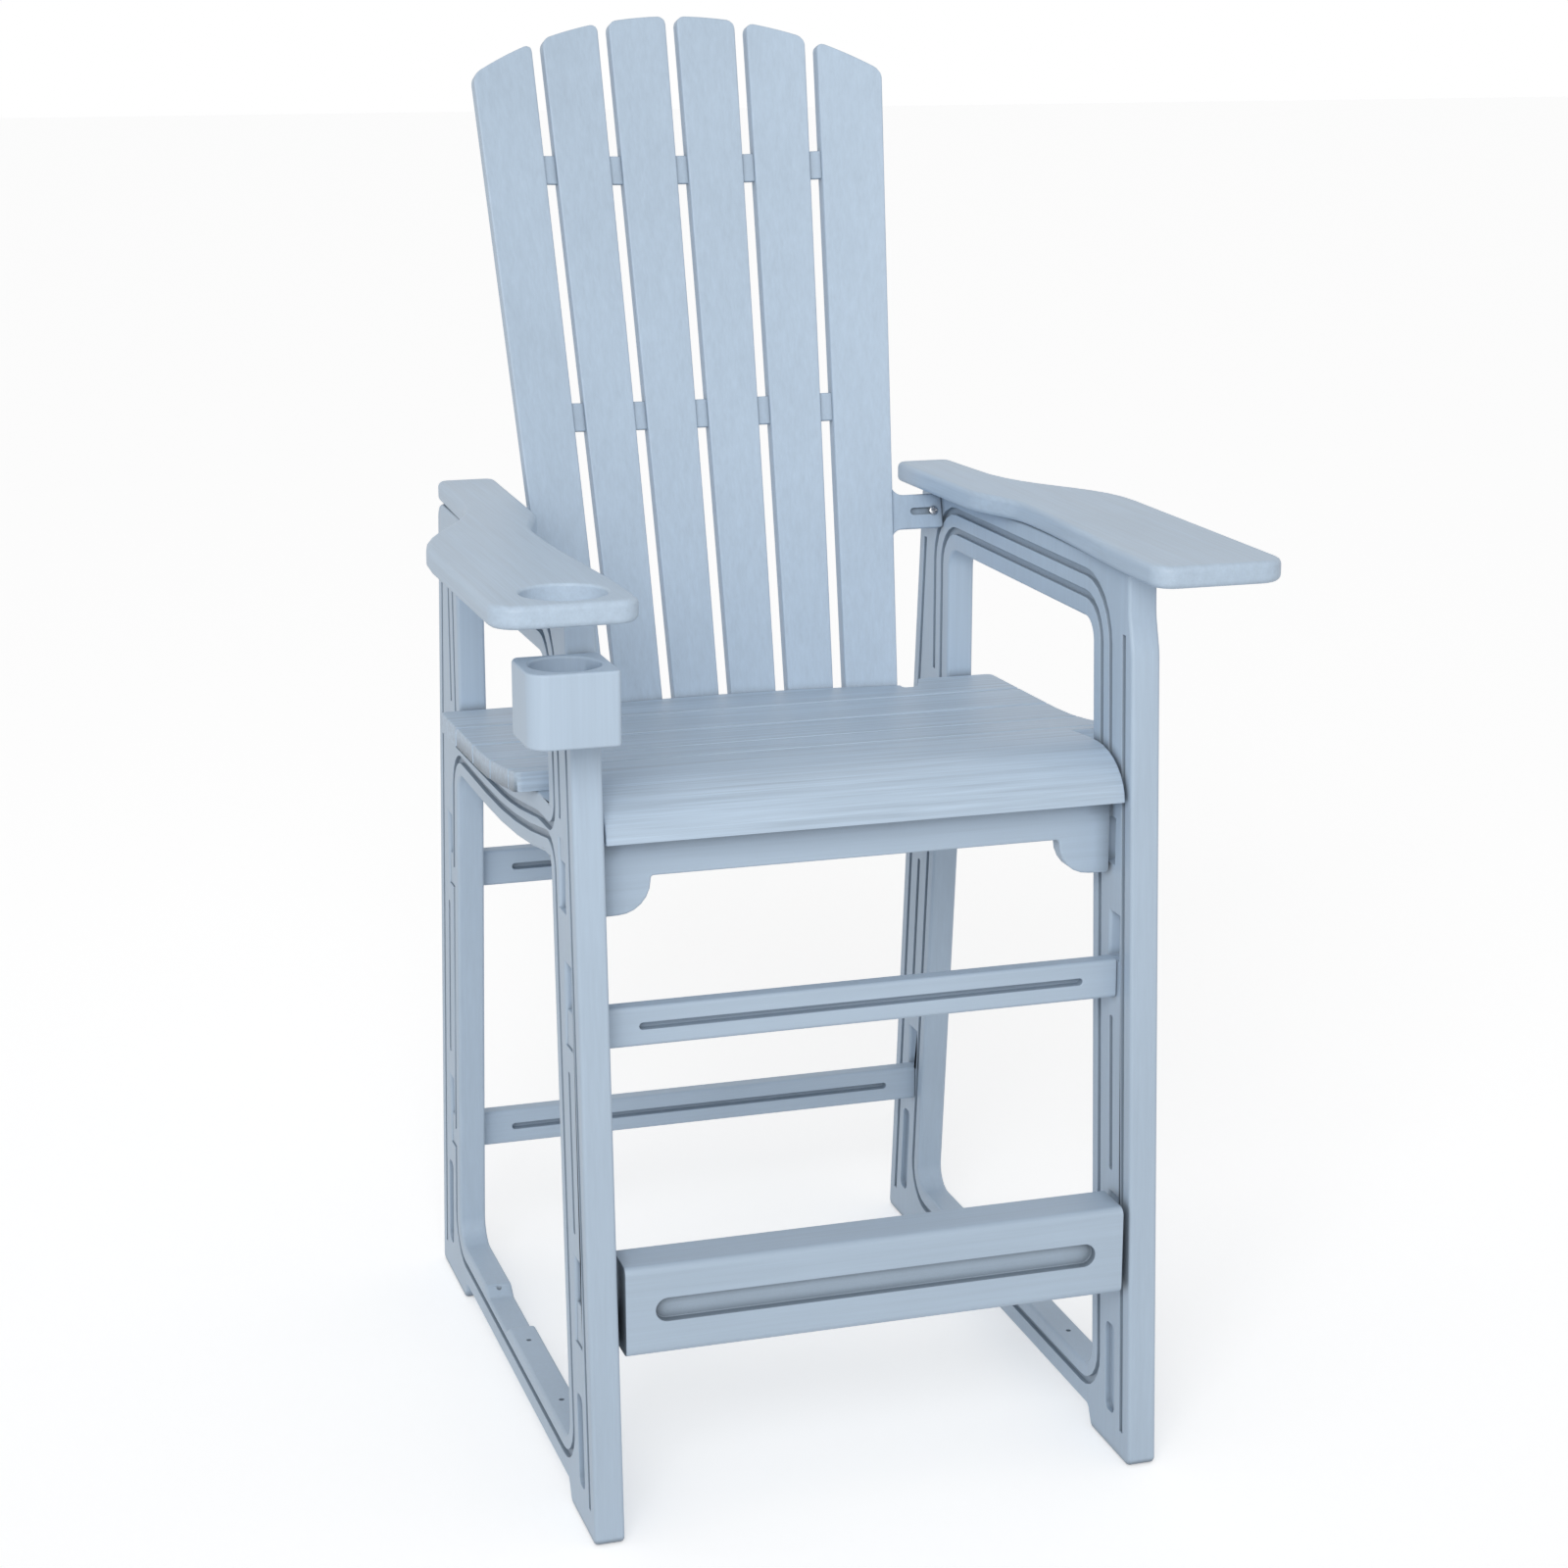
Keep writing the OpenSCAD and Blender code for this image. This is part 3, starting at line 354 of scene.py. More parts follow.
def refilled(mesh, wanted):
    """Fills the wanted flats with many corners again, with no spare points on their rims."""
    bigs = [f for f in mesh.faces if len(f.verts) > PLAIN_CORNERS and wanted(f.normal)]
    for big in sorted(bigs, key=lambda f: -f.calc_area()):
        if not big.is_valid:
            continue
        normal = big.normal.copy()
        level = sum(v.co.dot(normal) for v in big.verts) / len(big.verts)

        def here(vert):
            return abs(vert.co.dot(normal) - level) < SAME_LEVEL

        flat = once(f for f in mesh.faces if all(here(v) for v in f.verts))
        if big not in flat:
            continue
        rim = [e for f in flat for e in f.edges if sum(g in flat for g in e.link_faces) == 1]
        ends = once(v for e in rim for v in e.verts)
        bmesh.ops.delete(mesh, geom=list(flat), context="FACES_ONLY")
        bmesh.ops.dissolve_verts(mesh, verts=[v for v in ends if straight(v)])
        rim = [e for e in once(e for v in ends if v.is_valid for e in v.link_edges)
               if len(e.link_faces) == 1 and all(here(v) for v in e.verts)]
        made = bmesh.ops.triangle_fill(mesh, use_beauty=True, edges=rim, normal=normal)
        for face in made["geom"]:
            if isinstance(face, bmesh.types.BMFace):
                face.normal_update()
                if face.normal.dot(normal) < 0:
                    face.normal_flip()
    spare = [e for e in mesh.edges if not e.link_faces]
    bmesh.ops.delete(mesh, geom=spare, context="EDGES")
    return mesh


def sideways(normal):
    return abs(normal.x) > ALONG


def sideways_or_up(normal):
    return sideways(normal) or normal.z > ALONG


def up_or_down(normal):
    return abs(normal.z) > ALONG


def straight(vert):
    """Whether two edges meet at a point in one line, with nothing else there."""
    edges = [e for e in vert.link_edges if e.link_faces]
    if len(edges) != 2 or any(e.calc_length() == 0 for e in edges):
        return False
    a, b = (e.other_vert(vert).co - vert.co for e in edges)
    return a.angle(-b) < SAME_LINE


def softened(node, material, widest, width_at=None, segments=3, refill=None, shape=None):
    """A copy of a solid whose edges are rounded as a mould leaves them.

    width_at gives an edge's rounding, shape changes the mesh before it, and refill picks
    the flats to fill again after it.
    """
    mesh = merged(node)
    if shape:
        shape(mesh)
    rounding(mesh, widest, width_at or (lambda edge: widest))
    data = bpy.data.meshes.new(node + "_soft")
    mesh.to_mesh(data)
    mesh.free()
    piece = linked(node + "_soft", data, ("BEVEL", {
        "width": widest, "limit_method": "WEIGHT", "segments": segments,
        "use_clamp_overlap": False, "loop_slide": False, "miter_outer": "MITER_SHARP"}))
    if refill:
        mesh = bmesh.new()
        mesh.from_mesh(piece.data)
        refilled(mesh, refill).to_mesh(piece.data)
        mesh.free()
    return finished(smoothed(piece), material, "moulded_plastic", node)


FRAME_ROUND = 3.6 * MM
LINE_ROUND = 0.5 * MM
# Widths of walls across the frame: a sliver is below the first, a groove's wall below the second
SLIVER = 2 * MM
GROOVE_WALL = 11 * MM
WINDOW_LENGTH = 60 * MM


def frame_edge(edge):
    """Outlines are well rounded, windows and groove lines only just."""
    sides = [f for f in edge.link_faces if sideways(f.normal)]
    walls = [f for f in edge.link_faces
             if abs(f.normal.x) < 0.01 and span(f, ACROSS) > SLIVER]
    if len(sides) + len(walls) < 2:
        return 0.0
    if len(sides) != 1 or len(walls) != 1 or span(walls[0], ACROSS) < GROOVE_WALL:
        return LINE_ROUND
    wall = walls[0]
    square = max(abs(wall.normal.y), abs(wall.normal.z)) > 0.9999
    if square and max(span(wall, DEEP), span(wall, UPRIGHT)) < WINDOW_LENGTH:
        return LINE_ROUND
    return FRAME_ROUND


for side in ("left", "right"):
    softened(side + "_side_frame", PLASTIC["frame"], FRAME_ROUND, frame_edge, refill=sideways)

SEAT_ROUND = 1.8 * MM
BOARD_ROUND = 1.6 * MM
# The lines between boards: their width, and the most that their floor rises along it
BOARD_LINE = 5 * MM
BOARD_LINE_RISE = 1 * MM
# Distance from the middle, beyond which the seat's and the apron's ends lie
OUTLINE_X = 250 * MM


def in_board_line(face):
    """Whether a face is a wall or the floor of a line between two boards."""
    wall = abs(face.normal.y) > 0.99 and span(face, DEEP) < BOARD_LINE + 0.1 * MM
    wide = abs(span(face, DEEP) - BOARD_LINE) < 0.2 * MM
    return wall or (wide and span(face, UPRIGHT) < BOARD_LINE_RISE)


def seat_edge(edge):
    """The outline is rounded over and the lines between boards a little, the rest stays crisp."""
    if min(f.normal.z for f in edge.link_faces) < -0.5:
        return 0.0
    if any(in_board_line(f) for f in edge.link_faces):
        return BOARD_ROUND if max(f.normal.z for f in edge.link_faces) > 0.99 else LINE_ROUND
    if max(abs(v.co.x) for v in edge.verts) > OUTLINE_X:
        return SEAT_ROUND
    return 0.0


softened("seat_panel", PLASTIC["seat"], SEAT_ROUND, seat_edge, refill=sideways_or_up)

ARM_ROUND = 6 * MM
# Least height of a wall of the arm's outline, which goes through its whole thickness
ARM_WALL = 20 * MM


def arm_edge(edge):
    """Long outline edges are rounded over; the edges of small bores stay crisp."""
    walls = [f for f in edge.link_faces if abs(f.normal.z) < 0.5]
    if len(walls) == 1 and span(walls[0], UPRIGHT) > ARM_WALL:
        return ARM_ROUND
    return 0.0


# The inner edge of an arm curves outwards: how far, and where that starts, is most and ends
SCOOP = 23 * MM
SCOOP_REAR, SCOOP_DEEPEST, SCOOP_FRONT = 80 * MM, -30 * MM, -400 * MM
SCOOP_STEP = 9 * MM
INNER_WALL_X = 250 * MM


def scoop(y):
    """How far the inner edge of an arm curves outwards at a depth."""
    end = SCOOP_REAR if y > SCOOP_DEEPEST else SCOOP_FRONT
    share = min((y - SCOOP_DEEPEST) / (end - SCOOP_DEEPEST), 1.0)
    return SCOOP * (0.5 + 0.5 * math.cos(math.pi * share))


def inner_walls(mesh):
    """The faces of an arm's inner wall."""
    return [f for f in mesh.faces if abs(f.normal.x) > 0.99
            and abs(f.calc_center_median().x) < INNER_WALL_X]


def scooped(mesh):
    """Cuts the straight inner wall of an arm into strips and bends it along the scoop."""
    for i in range(1, round((SCOOP_REAR - SCOOP_FRONT) / SCOOP_STEP)):
        parts = once(p for f in inner_walls(mesh) for p in (f, *f.edges, *f.verts))
        bmesh.ops.bisect_plane(mesh, geom=list(parts), dist=0.1 * MM,
                               plane_co=(0, SCOOP_FRONT + i * SCOOP_STEP, 0), plane_no=(0, 1, 0))
    for vert in once(v for f in inner_walls(mesh) for v in f.verts):
        vert.co.x += math.copysign(scoop(vert.co.y), vert.co.x)
    mesh.normal_update()


for side in ("left", "right"):
    softened(side + "_arm", PLASTIC["arm"], ARM_ROUND, arm_edge, segments=4,
             refill=up_or_down, shape=scooped)

APRON_ROUND = 2.5 * MM


def apron_edge(edge):
    """The board and its brackets are rounded; its ends and hooks, inside the frames, are not."""
    if min(abs(v.co.x) for v in edge.verts) > OUTLINE_X:
        return 0.0
    return APRON_ROUND


softened("front_apron", PLASTIC["footboard"], APRON_ROUND, apron_edge)

BAR_ROUND = 1.2 * MM
FOOT_RAIL_ROUND = 0.6 * MM
softened("footrest", PLASTIC["footboard"], BAR_ROUND, refill=sideways)
for bar in ("mid_front_bar", "lower_rear_bar", "upper_rear_bar"):
    softened(bar, PLASTIC["bar"], BAR_ROUND, refill=sideways)
softened("back_foot_rail", PLASTIC["bar"], FOOT_RAIL_ROUND)

BATTEN_ROUND = 1.5 * MM
# Edges shorter than this go round a screw's bore and stay crisp
FACET = 0.9 * MM
HOLDER_ROUND = 2.5 * MM
# Least area of the holder's top and underside, and least length of its upright corners
RIM_AREA = 100 * MM * MM
HOLDER_CORNER = 20 * MM


def batten_edge(edge):
    return BATTEN_ROUND if edge.calc_length() > FACET else 0.0


def holder_edge(edge):
    """Rims and upright corners are rounded; the edges of the screw bores stay crisp."""
    rim = any(abs(f.normal.z) > 0.99 and f.calc_area() > RIM_AREA for f in edge.link_faces)
    return HOLDER_ROUND if rim or edge.calc_length() > HOLDER_CORNER else 0.0


for batten in ("front_seat_batten", "rear_seat_batten"):
    softened(batten, PLASTIC["bar"], BATTEN_ROUND, batten_edge)
softened("cup_holder", PLASTIC["frame"], HOLDER_ROUND, holder_edge)

# ---------------------------------------------------------------- back

BACK_PLACE = Vector((0, 186.57 * MM, 706 * MM))
SLATS = 6
FOOT = 66 * MM
BACK_HEIGHT = 753.5 * MM
THICKNESS = 17 * MM
CURVE = 1060 * MM
HALF_WIDTH = 195 * MM
SPREAD = math.tan(math.radians(3.11))
LOW_GAP = 13.7 * MM
HIGH_GAP = 12.7 * MM
TOP_RADIUS = 427 * MM
SLAT_CORNER = 9 * MM
SLAT_ROUND = 2.2 * MM
# Steps of the mesh round an edge of a slat, and across, along and through its flat part
EDGE_STEPS = 3
STEPS_ACROSS, STEPS_ALONG, STEPS_THROUGH = 20, 14, 5


def interface(tree, kind, name, value=None, way="INPUT"):
    """Gives a geometry tree one more input or output."""
    socket = tree.interface.new_socket(name, in_out=way, socket_type="NodeSocket" + kind)
    if value is not None:
        socket.default_value = value


def inputs_of(sheet):
    """A geometry tree's inputs by name."""
    given = sheet.add("NodeGroupInput")
    return {s.name: Field(sheet, s) for s in given.outputs if s.name}


def delivered(sheet, geometry, finish):
    """Ends a geometry tree: the instances become plain faces with their material."""
    plain = sheet.add("GeometryNodeRealizeInstances", {"Geometry": geometry.outputs[0]})
    dressed = sheet.add("GeometryNodeSetMaterial", {
        "Geometry": plain.outputs[0], "Material": finish})
    sheet.put(sheet.add("NodeGroupOutput").inputs[0], dressed.outputs[0])


def fan_of_slats():
    """Slats side by side in a fan: bent on a cylinder, with an arched top and round edges."""
    tree = bpy.data.node_groups.new("fan_of_slats", "GeometryNodeTree")
    interface(tree, "Geometry", "Geometry", way="OUTPUT")
    interface(tree, "Int", "Slats", SLATS)
    for name, value in {
        "Half Width": HALF_WIDTH, "Spread": SPREAD, "Low Gap": LOW_GAP, "High Gap": HIGH_GAP,
        "Foot": FOOT, "Height": BACK_HEIGHT, "Top Radius": TOP_RADIUS, "Corner": SLAT_CORNER,
        "Curve": CURVE, "Thickness": THICKNESS, "Edge": SLAT_ROUND,
    }.items():
        interface(tree, "Float", name, value)
    interface(tree, "Material", "Finish")
    sheet = Sheet(tree)
    size = inputs_of(sheet)

    box = sheet.add("GeometryNodeMeshCube", {
        "Size": (1, 1, 1), "Vertices X": STEPS_ACROSS + 2 * EDGE_STEPS + 1,
        "Vertices Y": STEPS_THROUGH + 2 * EDGE_STEPS + 1,
        "Vertices Z": STEPS_ALONG + EDGE_STEPS + 1})
    line = sheet.add("GeometryNodeMeshLine", {"Count": size["Slats"], "Offset": (0, 0, 0)})
    copies = sheet.add("GeometryNodeInstanceOnPoints", {
        "Points": line.outputs[0], "Instance": box.outputs[0]})
    number = sheet.add("GeometryNodeInputIndex").outputs[0]
    marked = sheet.add("GeometryNodeStoreNamedAttribute", {
        "Geometry": copies.outputs[0], "Name": "slat", "Value": number},
        data_type="FLOAT", domain="INSTANCE")
    loose = sheet.add("GeometryNodeRealizeInstances", {"Geometry": marked.outputs[0]})
    slat = Field(sheet, sheet.add("GeometryNodeInputNamedAttribute", {"Name": "slat"},
                                  data_type="FLOAT").outputs[0])
    place = sheet.add("ShaderNodeSeparateXYZ",
                      {"Vector": sheet.add("GeometryNodeInputPosition").outputs[0]})
    px, py, pz = (Field(sheet, place.outputs[i]) for i in range(3))

    def stepped(share, length, edge, steps, both=True):
        """Even steps along a length, with finer ones where its ends are rounded."""
        ends = 2 if both else 1
        count = (share + 0.5) * (steps + EDGE_STEPS * ends)
        first = sheet.low(count, EDGE_STEPS) * (edge / EDGE_STEPS)
        middle = sheet.low(sheet.high(count - EDGE_STEPS, 0), steps)
        along = first + middle * ((length - edge * ends) / steps)
        if both:
            along = along + sheet.high(count - (EDGE_STEPS + steps), 0) * (edge / EDGE_STEPS)
        return along

    share = slat * 2 / size["Slats"] - 1
    next_share = share + 2 / size["Slats"]
    left_gap = sheet.low(slat, 1) / 2
    right_gap = sheet.low(size["Slats"] - 1 - slat, 1) / 2
    gap_rise = (size["High Gap"] - size["Low Gap"]) / size["Height"]
    left = (size["Half Width"] * share + size["Low Gap"] * left_gap,
            size["Spread"] * share + gap_rise * left_gap)
    right = (size["Half Width"] * next_share - size["Low Gap"] * right_gap,
             size["Spread"] * next_share - gap_rise * right_gap)
    width = right[0] - left[0] + (right[1] - left[1]) * size["Height"]

    edge = size["Edge"]
    full = size["Height"] + size["Foot"]
    # Distances across, through and along the slat, and its core, whose skin is one radius away
    a = stepped(px, width, edge, STEPS_ACROSS)
    b = stepped(py, size["Thickness"], edge, STEPS_THROUGH)
    c = stepped(0 - pz, full, edge, STEPS_ALONG, both=False)

    def held(value, length, both=True):
        """The nearest place in the core."""
        core = sheet.high(value, edge)
        return sheet.low(core, length - edge) if both else core

    cores = held(a, width), held(b, size["Thickness"]), held(c, full, both=False)
    away = [value - core for value, core in zip((a, b, c), cores)]
    reach = (away[0] * away[0] + away[1] * away[1] + away[2] * away[2]).root()
    scale = edge / sheet.high(reach, 1e-9)
    on_skin = sheet.math("GREATER_THAN", reach, 1e-7)
    a, b, c = (core + off * scale * on_skin for core, off in zip(cores, away))

    u = a / width
    start = left[0] + (right[0] - left[0]) * u
    slope = left[1] + (right[1] - left[1]) * u
    centre = size["Height"] - size["Top Radius"]

    def arched(x):
        return centre + (size["Top Radius"] * size["Top Radius"] - x * x).root()

    top = arched(start + slope * size["Height"])
    top = arched(start + slope * top)
    bite = sheet.high(size["Corner"] - sheet.low(a, width - a), 0)
    drop = size["Corner"] - sheet.high(size["Corner"] * size["Corner"] - bite * bite, 0).root()
    stretch = (top - drop + size["Foot"]) / full
    z = top - drop - c * stretch
    x = start + slope * z
    radius = size["Curve"] + b
    y = (radius * radius - x * x).root() - size["Curve"]
    moved = sheet.add("GeometryNodeSetPosition", {
        "Geometry": loose.outputs[0], "Position": sheet.vector(x, y, z)})
    leaned = sheet.add("GeometryNodeTransform", {
        "Geometry": moved.outputs[0], "Translation": tuple(BACK_PLACE),
        "Rotation": (-BACK_TILT, 0, 0)})
    delivered(sheet, leaned, size["Finish"])
    return tree


def grown(name, tree, values, mesh=None):
    """Runs a geometry tree on an object and keeps the plain mesh."""
    piece = linked(name, mesh or bpy.data.meshes.new(name))
    modifier = piece.modifiers.new("rule", "NODES")
    modifier.node_group = tree
    names = {item.name: item.identifier for item in tree.interface.items_tree
             if item.item_type == "SOCKET" and item.in_out == "INPUT"}
    for key, value in values.items():
        modifier[names[key]] = value
    return applied(piece)


slats = grown("back_slats", fan_of_slats(), {"Finish": PLASTIC["back"]})
finished(smoothed(slats), PLASTIC["back"], "moulded_plastic", "backrest_panel")

# Two rows that join the slats: their places, height, and set-back from both faces and the sides
BRIDGES = (299 * MM, 569 * MM)
BRIDGE_HEIGHT = 31 * MM
BRIDGE_SET = 5 * MM
BRIDGE_END = 12 * MM
EAR_HEIGHT = 38 * MM
EAR_PLACE = 191.56 * MM
EAR_FRONT = -16.09 * MM
EAR_THICKNESS = 11 * MM
EAR_BLEND = 14 * MM
EAR_CORNER = 3 * MM
# How far an ear reaches into the outer slat, and stays behind the slat's side
EAR_ROOT = 20 * MM
EAR_INSET = 1 * MM
EAR_END = 264.7 * MM
EAR_SCREW = 254 * MM
EAR_SLOT_LENGTH = 27 * MM
EAR_SLOT_HEIGHT = 8 * MM
EAR_SLOT_DEPTH = 5 * MM
# Share of half the slot's height that its end is rounded with
EAR_SLOT_END = 0.98
MOULD_ROUND = 1.5 * MM
ON_BACK = Matrix.Translation(BACK_PLACE) @ Matrix.Rotation(-BACK_TILT, 4, "X")


def half_at(z):
    """Half the back's width at a height along it."""
    return HALF_WIDTH + SPREAD * z


def closed(mesh, name):
    """Turns a closed bmesh, drawn along the back, into mesh data in its tilted place."""
    bmesh.ops.recalc_face_normals(mesh, faces=mesh.faces)
    mesh.transform(ON_BACK)
    data = bpy.data.meshes.new(name)
    mesh.to_mesh(data)
    mesh.free()
    return data


def mould_rounded(name, data):
    """A piece with every corner a little rounded."""
    return linked(name, data, ("BEVEL", {"width": MOULD_ROUND, "segments": 3,
                                         "limit_method": "ANGLE", "angle_limit": CORNER}))


def band(half_low, half_high, low, high, front, back, name, columns=48):
    """A band across the back that is bent with it, built column by column."""
    mesh = bmesh.new()
    rings = []
    for i in range(columns + 1):
        share = 2 * i / columns - 1
        ring = []
        for half, z, depth in ((half_low, low, front), (half_high, high, front),
                               (half_high, high, back), (half_low, low, back)):
            x = half * share
            ring.append(mesh.verts.new((x, math.sqrt((CURVE + depth) ** 2 - x * x) - CURVE, z)))
        rings.append(ring)
    for a, b in zip(rings, rings[1:]):
        for i in range(4):
            j = (i + 1) % 4
            mesh.faces.new((a[i], a[j], b[j], b[i]))
    mesh.faces.new(rings[0])
    mesh.faces.new(rings[-1])
    return closed(mesh, name)


def plate(outline, front, back, name):
    """A flat outline in x and z made solid between two depths."""
    mesh = bmesh.new()
    near, far = ([mesh.verts.new((x, depth, z)) for x, z in outline] for depth in (front, back))
    mesh.faces.new(near)
    mesh.faces.new(far)
    for i in range(len(outline)):
        j = (i + 1) % len(outline)
        mesh.faces.new((near[i], near[j], far[j], far[i]))
    return closed(mesh, name)


def eased(corners, steps=6):
    """Outline from corners (x, z, radius), with an arc at each corner."""
    outline = []
    for i, (x, z, radius) in enumerate(corners):
        here = Vector((x, z))
        if radius == 0:
            outline.append(here)
            continue
        before = (Vector(corners[i - 1][:2]) - here).normalized()
        after = (Vector(corners[(i + 1) % len(corners)][:2]) - here).normalized()
        half = before.angle(after) / 2
        centre = here + (before + after).normalized() * (radius / math.sin(half))
        start = (here + before * (radius / math.tan(half)) - centre).normalized()
        end = (here + after * (radius / math.tan(half)) - centre).normalized()
        outline += [centre + start.slerp(end, k / steps) * radius for k in range(steps + 1)]
    return outline


for name, low in zip(("lower_bridge_row", "upper_bridge_row"), BRIDGES):
    inner_half = half_at(low) - BRIDGE_END
    row = mould_rounded(name, band(inner_half, inner_half, low, low + BRIDGE_HEIGHT,
                                   BRIDGE_SET, THICKNESS - BRIDGE_SET, name))
    finished(smoothed(row), PLASTIC["back"], "moulded_plastic", "backrest_panel")

# The closed foot below the seat, a little inside the slats
FOOT_TOP = -20 * MM
FOOT_END = 3 * MM
FOOT_RISE = 1 * MM
FOOT_SET = 0.5 * MM
foot = mould_rounded("back_foot", band(
    half_at(-FOOT) - FOOT_END, half_at(FOOT_TOP) - FOOT_END, -FOOT + FOOT_RISE, FOOT_TOP,
    FOOT_SET, THICKNESS - FOOT_SET, "back_foot"))
finished(smoothed(foot), PLASTIC["back"], "moulded_plastic", "backrest_panel")


def ear(side):
    """The tab that holds the back to a side frame, with a slot that leads to its screw."""
    low, high = EAR_PLACE - EAR_HEIGHT / 2, EAR_PLACE + EAR_HEIGHT / 2
    under, over = low - 2 * EAR_BLEND, high + 2 * EAR_BLEND
    root = half_at(under) - EAR_ROOT
    tab = eased([
        (root, under, 0), (half_at(under) - EAR_INSET, under, 0),
        (half_at(low) - EAR_INSET, low, EAR_BLEND),
        (EAR_END, low, EAR_CORNER), (EAR_END, high, EAR_CORNER),
        (half_at(high) - EAR_INSET, high, EAR_BLEND),
        (half_at(over) - EAR_INSET, over, 0), (root, over, 0)])
    half = EAR_SLOT_HEIGHT / 2
    bend = half * EAR_SLOT_END
    slot = eased([
        (EAR_SCREW - EAR_SLOT_LENGTH, EAR_PLACE - half, bend),
        (EAR_SCREW + half, EAR_PLACE - half, bend),
        (EAR_SCREW + half, EAR_PLACE + half, bend),
        (EAR_SCREW - EAR_SLOT_LENGTH, EAR_PLACE + half, bend)])
    if side < 0:
        tab, slot = ([Vector((-p.x, p.y)) for p in line] for line in (tab, slot))
    name = ("left" if side < 0 else "right") + "_ear"
    piece = mould_rounded(name, plate(tab, EAR_FRONT, EAR_FRONT + EAR_THICKNESS, name))
    cutter = linked(name + "_slot", plate(slot, EAR_FRONT - EAR_SLOT_DEPTH,
                                          EAR_FRONT + EAR_SLOT_DEPTH, name + "_slot"))
    cut = piece.modifiers.new("slot", "BOOLEAN")
    cut.object = cutter
    cut.solver = "EXACT"
    applied(piece)
    bpy.data.objects.remove(cutter)
    return piece


for side in (-1, 1):
    finished(smoothed(ear(side)), PLASTIC["back"], "moulded_plastic", "backrest_panel")

# ---------------------------------------------------------------- screws

HEAD_RADIUS = 4.75 * MM
HEAD_HEIGHT = 3.5 * MM
SHANK_RADIUS = 2.5 * MM
THREAD_PITCH = 2.2 * MM
THREAD_DEPTH = 0.7 * MM
RECESS_DEPTH = 1.8 * MM
USUAL_LENGTH = 28 * MM
# Share of the head that is domed, and of its radius that the cross is wide, long and soft
DOME = 0.35
CROSS_HALF, CROSS_REACH, CROSS_SOFT = 0.12, 0.62, 0.09
# Steps of the mesh round the screw, and along its crown, wall, seat, shank and point
STEPS_ROUND = 48
CROWN_STEPS, WALL_STEPS, SEAT_STEPS, SHANK_STEPS, POINT_STEPS = 14, 4, 3, 66, 4
# The thread is full after this share of the shank
THREAD_START = 1 / 8
SEALED = 0.004 * MM


def screws_on_points():
    """A cross-headed screw at each point of a mesh: a revolved profile with a thread."""
    tree = bpy.data.node_groups.new("screws_on_points", "GeometryNodeTree")
    interface(tree, "Geometry", "Geometry")
    interface(tree, "Geometry", "Geometry", way="OUTPUT")
    interface(tree, "Vector", "Direction", (0, 0, 1))
    for name, value in {
        "Length": USUAL_LENGTH, "Head Radius": HEAD_RADIUS, "Head Height": HEAD_HEIGHT,
        "Shank Radius": SHANK_RADIUS, "Pitch": THREAD_PITCH, "Thread": THREAD_DEPTH,
        "Recess": RECESS_DEPTH,
    }.items():
        interface(tree, "Float", name, value)
    interface(tree, "Material", "Finish")
    sheet = Sheet(tree)
    size = inputs_of(sheet)
    parts = (CROWN_STEPS, WALL_STEPS, SEAT_STEPS, SHANK_STEPS, POINT_STEPS)
    rows = sum(parts)
    skin = sheet.add("GeometryNodeMeshGrid", {
        "Size X": 1.0, "Size Y": 1.0, "Vertices X": STEPS_ROUND + 1, "Vertices Y": rows + 1})
    spot = sheet.add("ShaderNodeSeparateXYZ",
                     {"Vector": sheet.add("GeometryNodeInputPosition").outputs[0]})
    turn = (Field(sheet, spot.outputs[0]) + 0.5) * (2 * math.pi)
    row = (Field(sheet, spot.outputs[1]) + 0.5) * rows

    # Each rises from 0 to 1 along its own part of the profile
    crown, wall, seat, run, point = (
        sheet.low(sheet.high((row - sum(parts[:i])) / count, 0), 1)
        for i, count in enumerate(parts))
    dome = size["Head Height"] * DOME
    tip_length = size["Shank Radius"]
    radius = (size["Head Radius"] * crown - (size["Head Radius"] - size["Shank Radius"]) * seat
              - size["Shank Radius"] * point)
    height = (dome * crown * crown + (size["Head Height"] - dome) * wall - size["Head Height"]
              + (size["Length"] - tip_length) * run + tip_length * point)
    wave = sheet.math("FRACT", height / size["Pitch"] - turn * (0.5 / math.pi))
    valley = sheet.math("ABSOLUTE", wave * 2 - 1)
    worked = sheet.low(run * (1 / THREAD_START), 1) * (1 - point)
    radius = radius - size["Thread"] * valley * worked
    x = radius * sheet.math("COSINE", turn)
    y = radius * sheet.math("SINE", turn)
    far_x, far_y = sheet.math("ABSOLUTE", x), sheet.math("ABSOLUTE", y)
    slot_half, reach, soft = (size["Head Radius"] * share
                              for share in (CROSS_HALF, CROSS_REACH, CROSS_SOFT))
    narrow = sheet.low(sheet.high((slot_half - sheet.low(far_x, far_y)) / soft + 1, 0), 1)
    short = sheet.low(sheet.high((reach - sheet.high(far_x, far_y)) / soft + 1, 0), 1)
    cross = narrow * short * sheet.math("LESS_THAN", row, CROWN_STEPS - 0.5)
    height = height + size["Recess"] * cross
    shaped = sheet.add("GeometryNodeSetPosition", {
        "Geometry": skin.outputs[0], "Position": sheet.vector(x, y, height)})
    sealed = sheet.add("GeometryNodeMergeByDistance", {
        "Geometry": shaped.outputs[0], "Distance": SEALED})
    facing = sheet.add("FunctionNodeAlignRotationToVector", {"Vector": size["Direction"]},
                       axis="Z")
    placed = sheet.add("GeometryNodeInstanceOnPoints", {
        "Points": size["Geometry"], "Instance": sealed.outputs[0],
        "Rotation": facing.outputs[0]})
    delivered(sheet, placed, size["Finish"])
    return tree


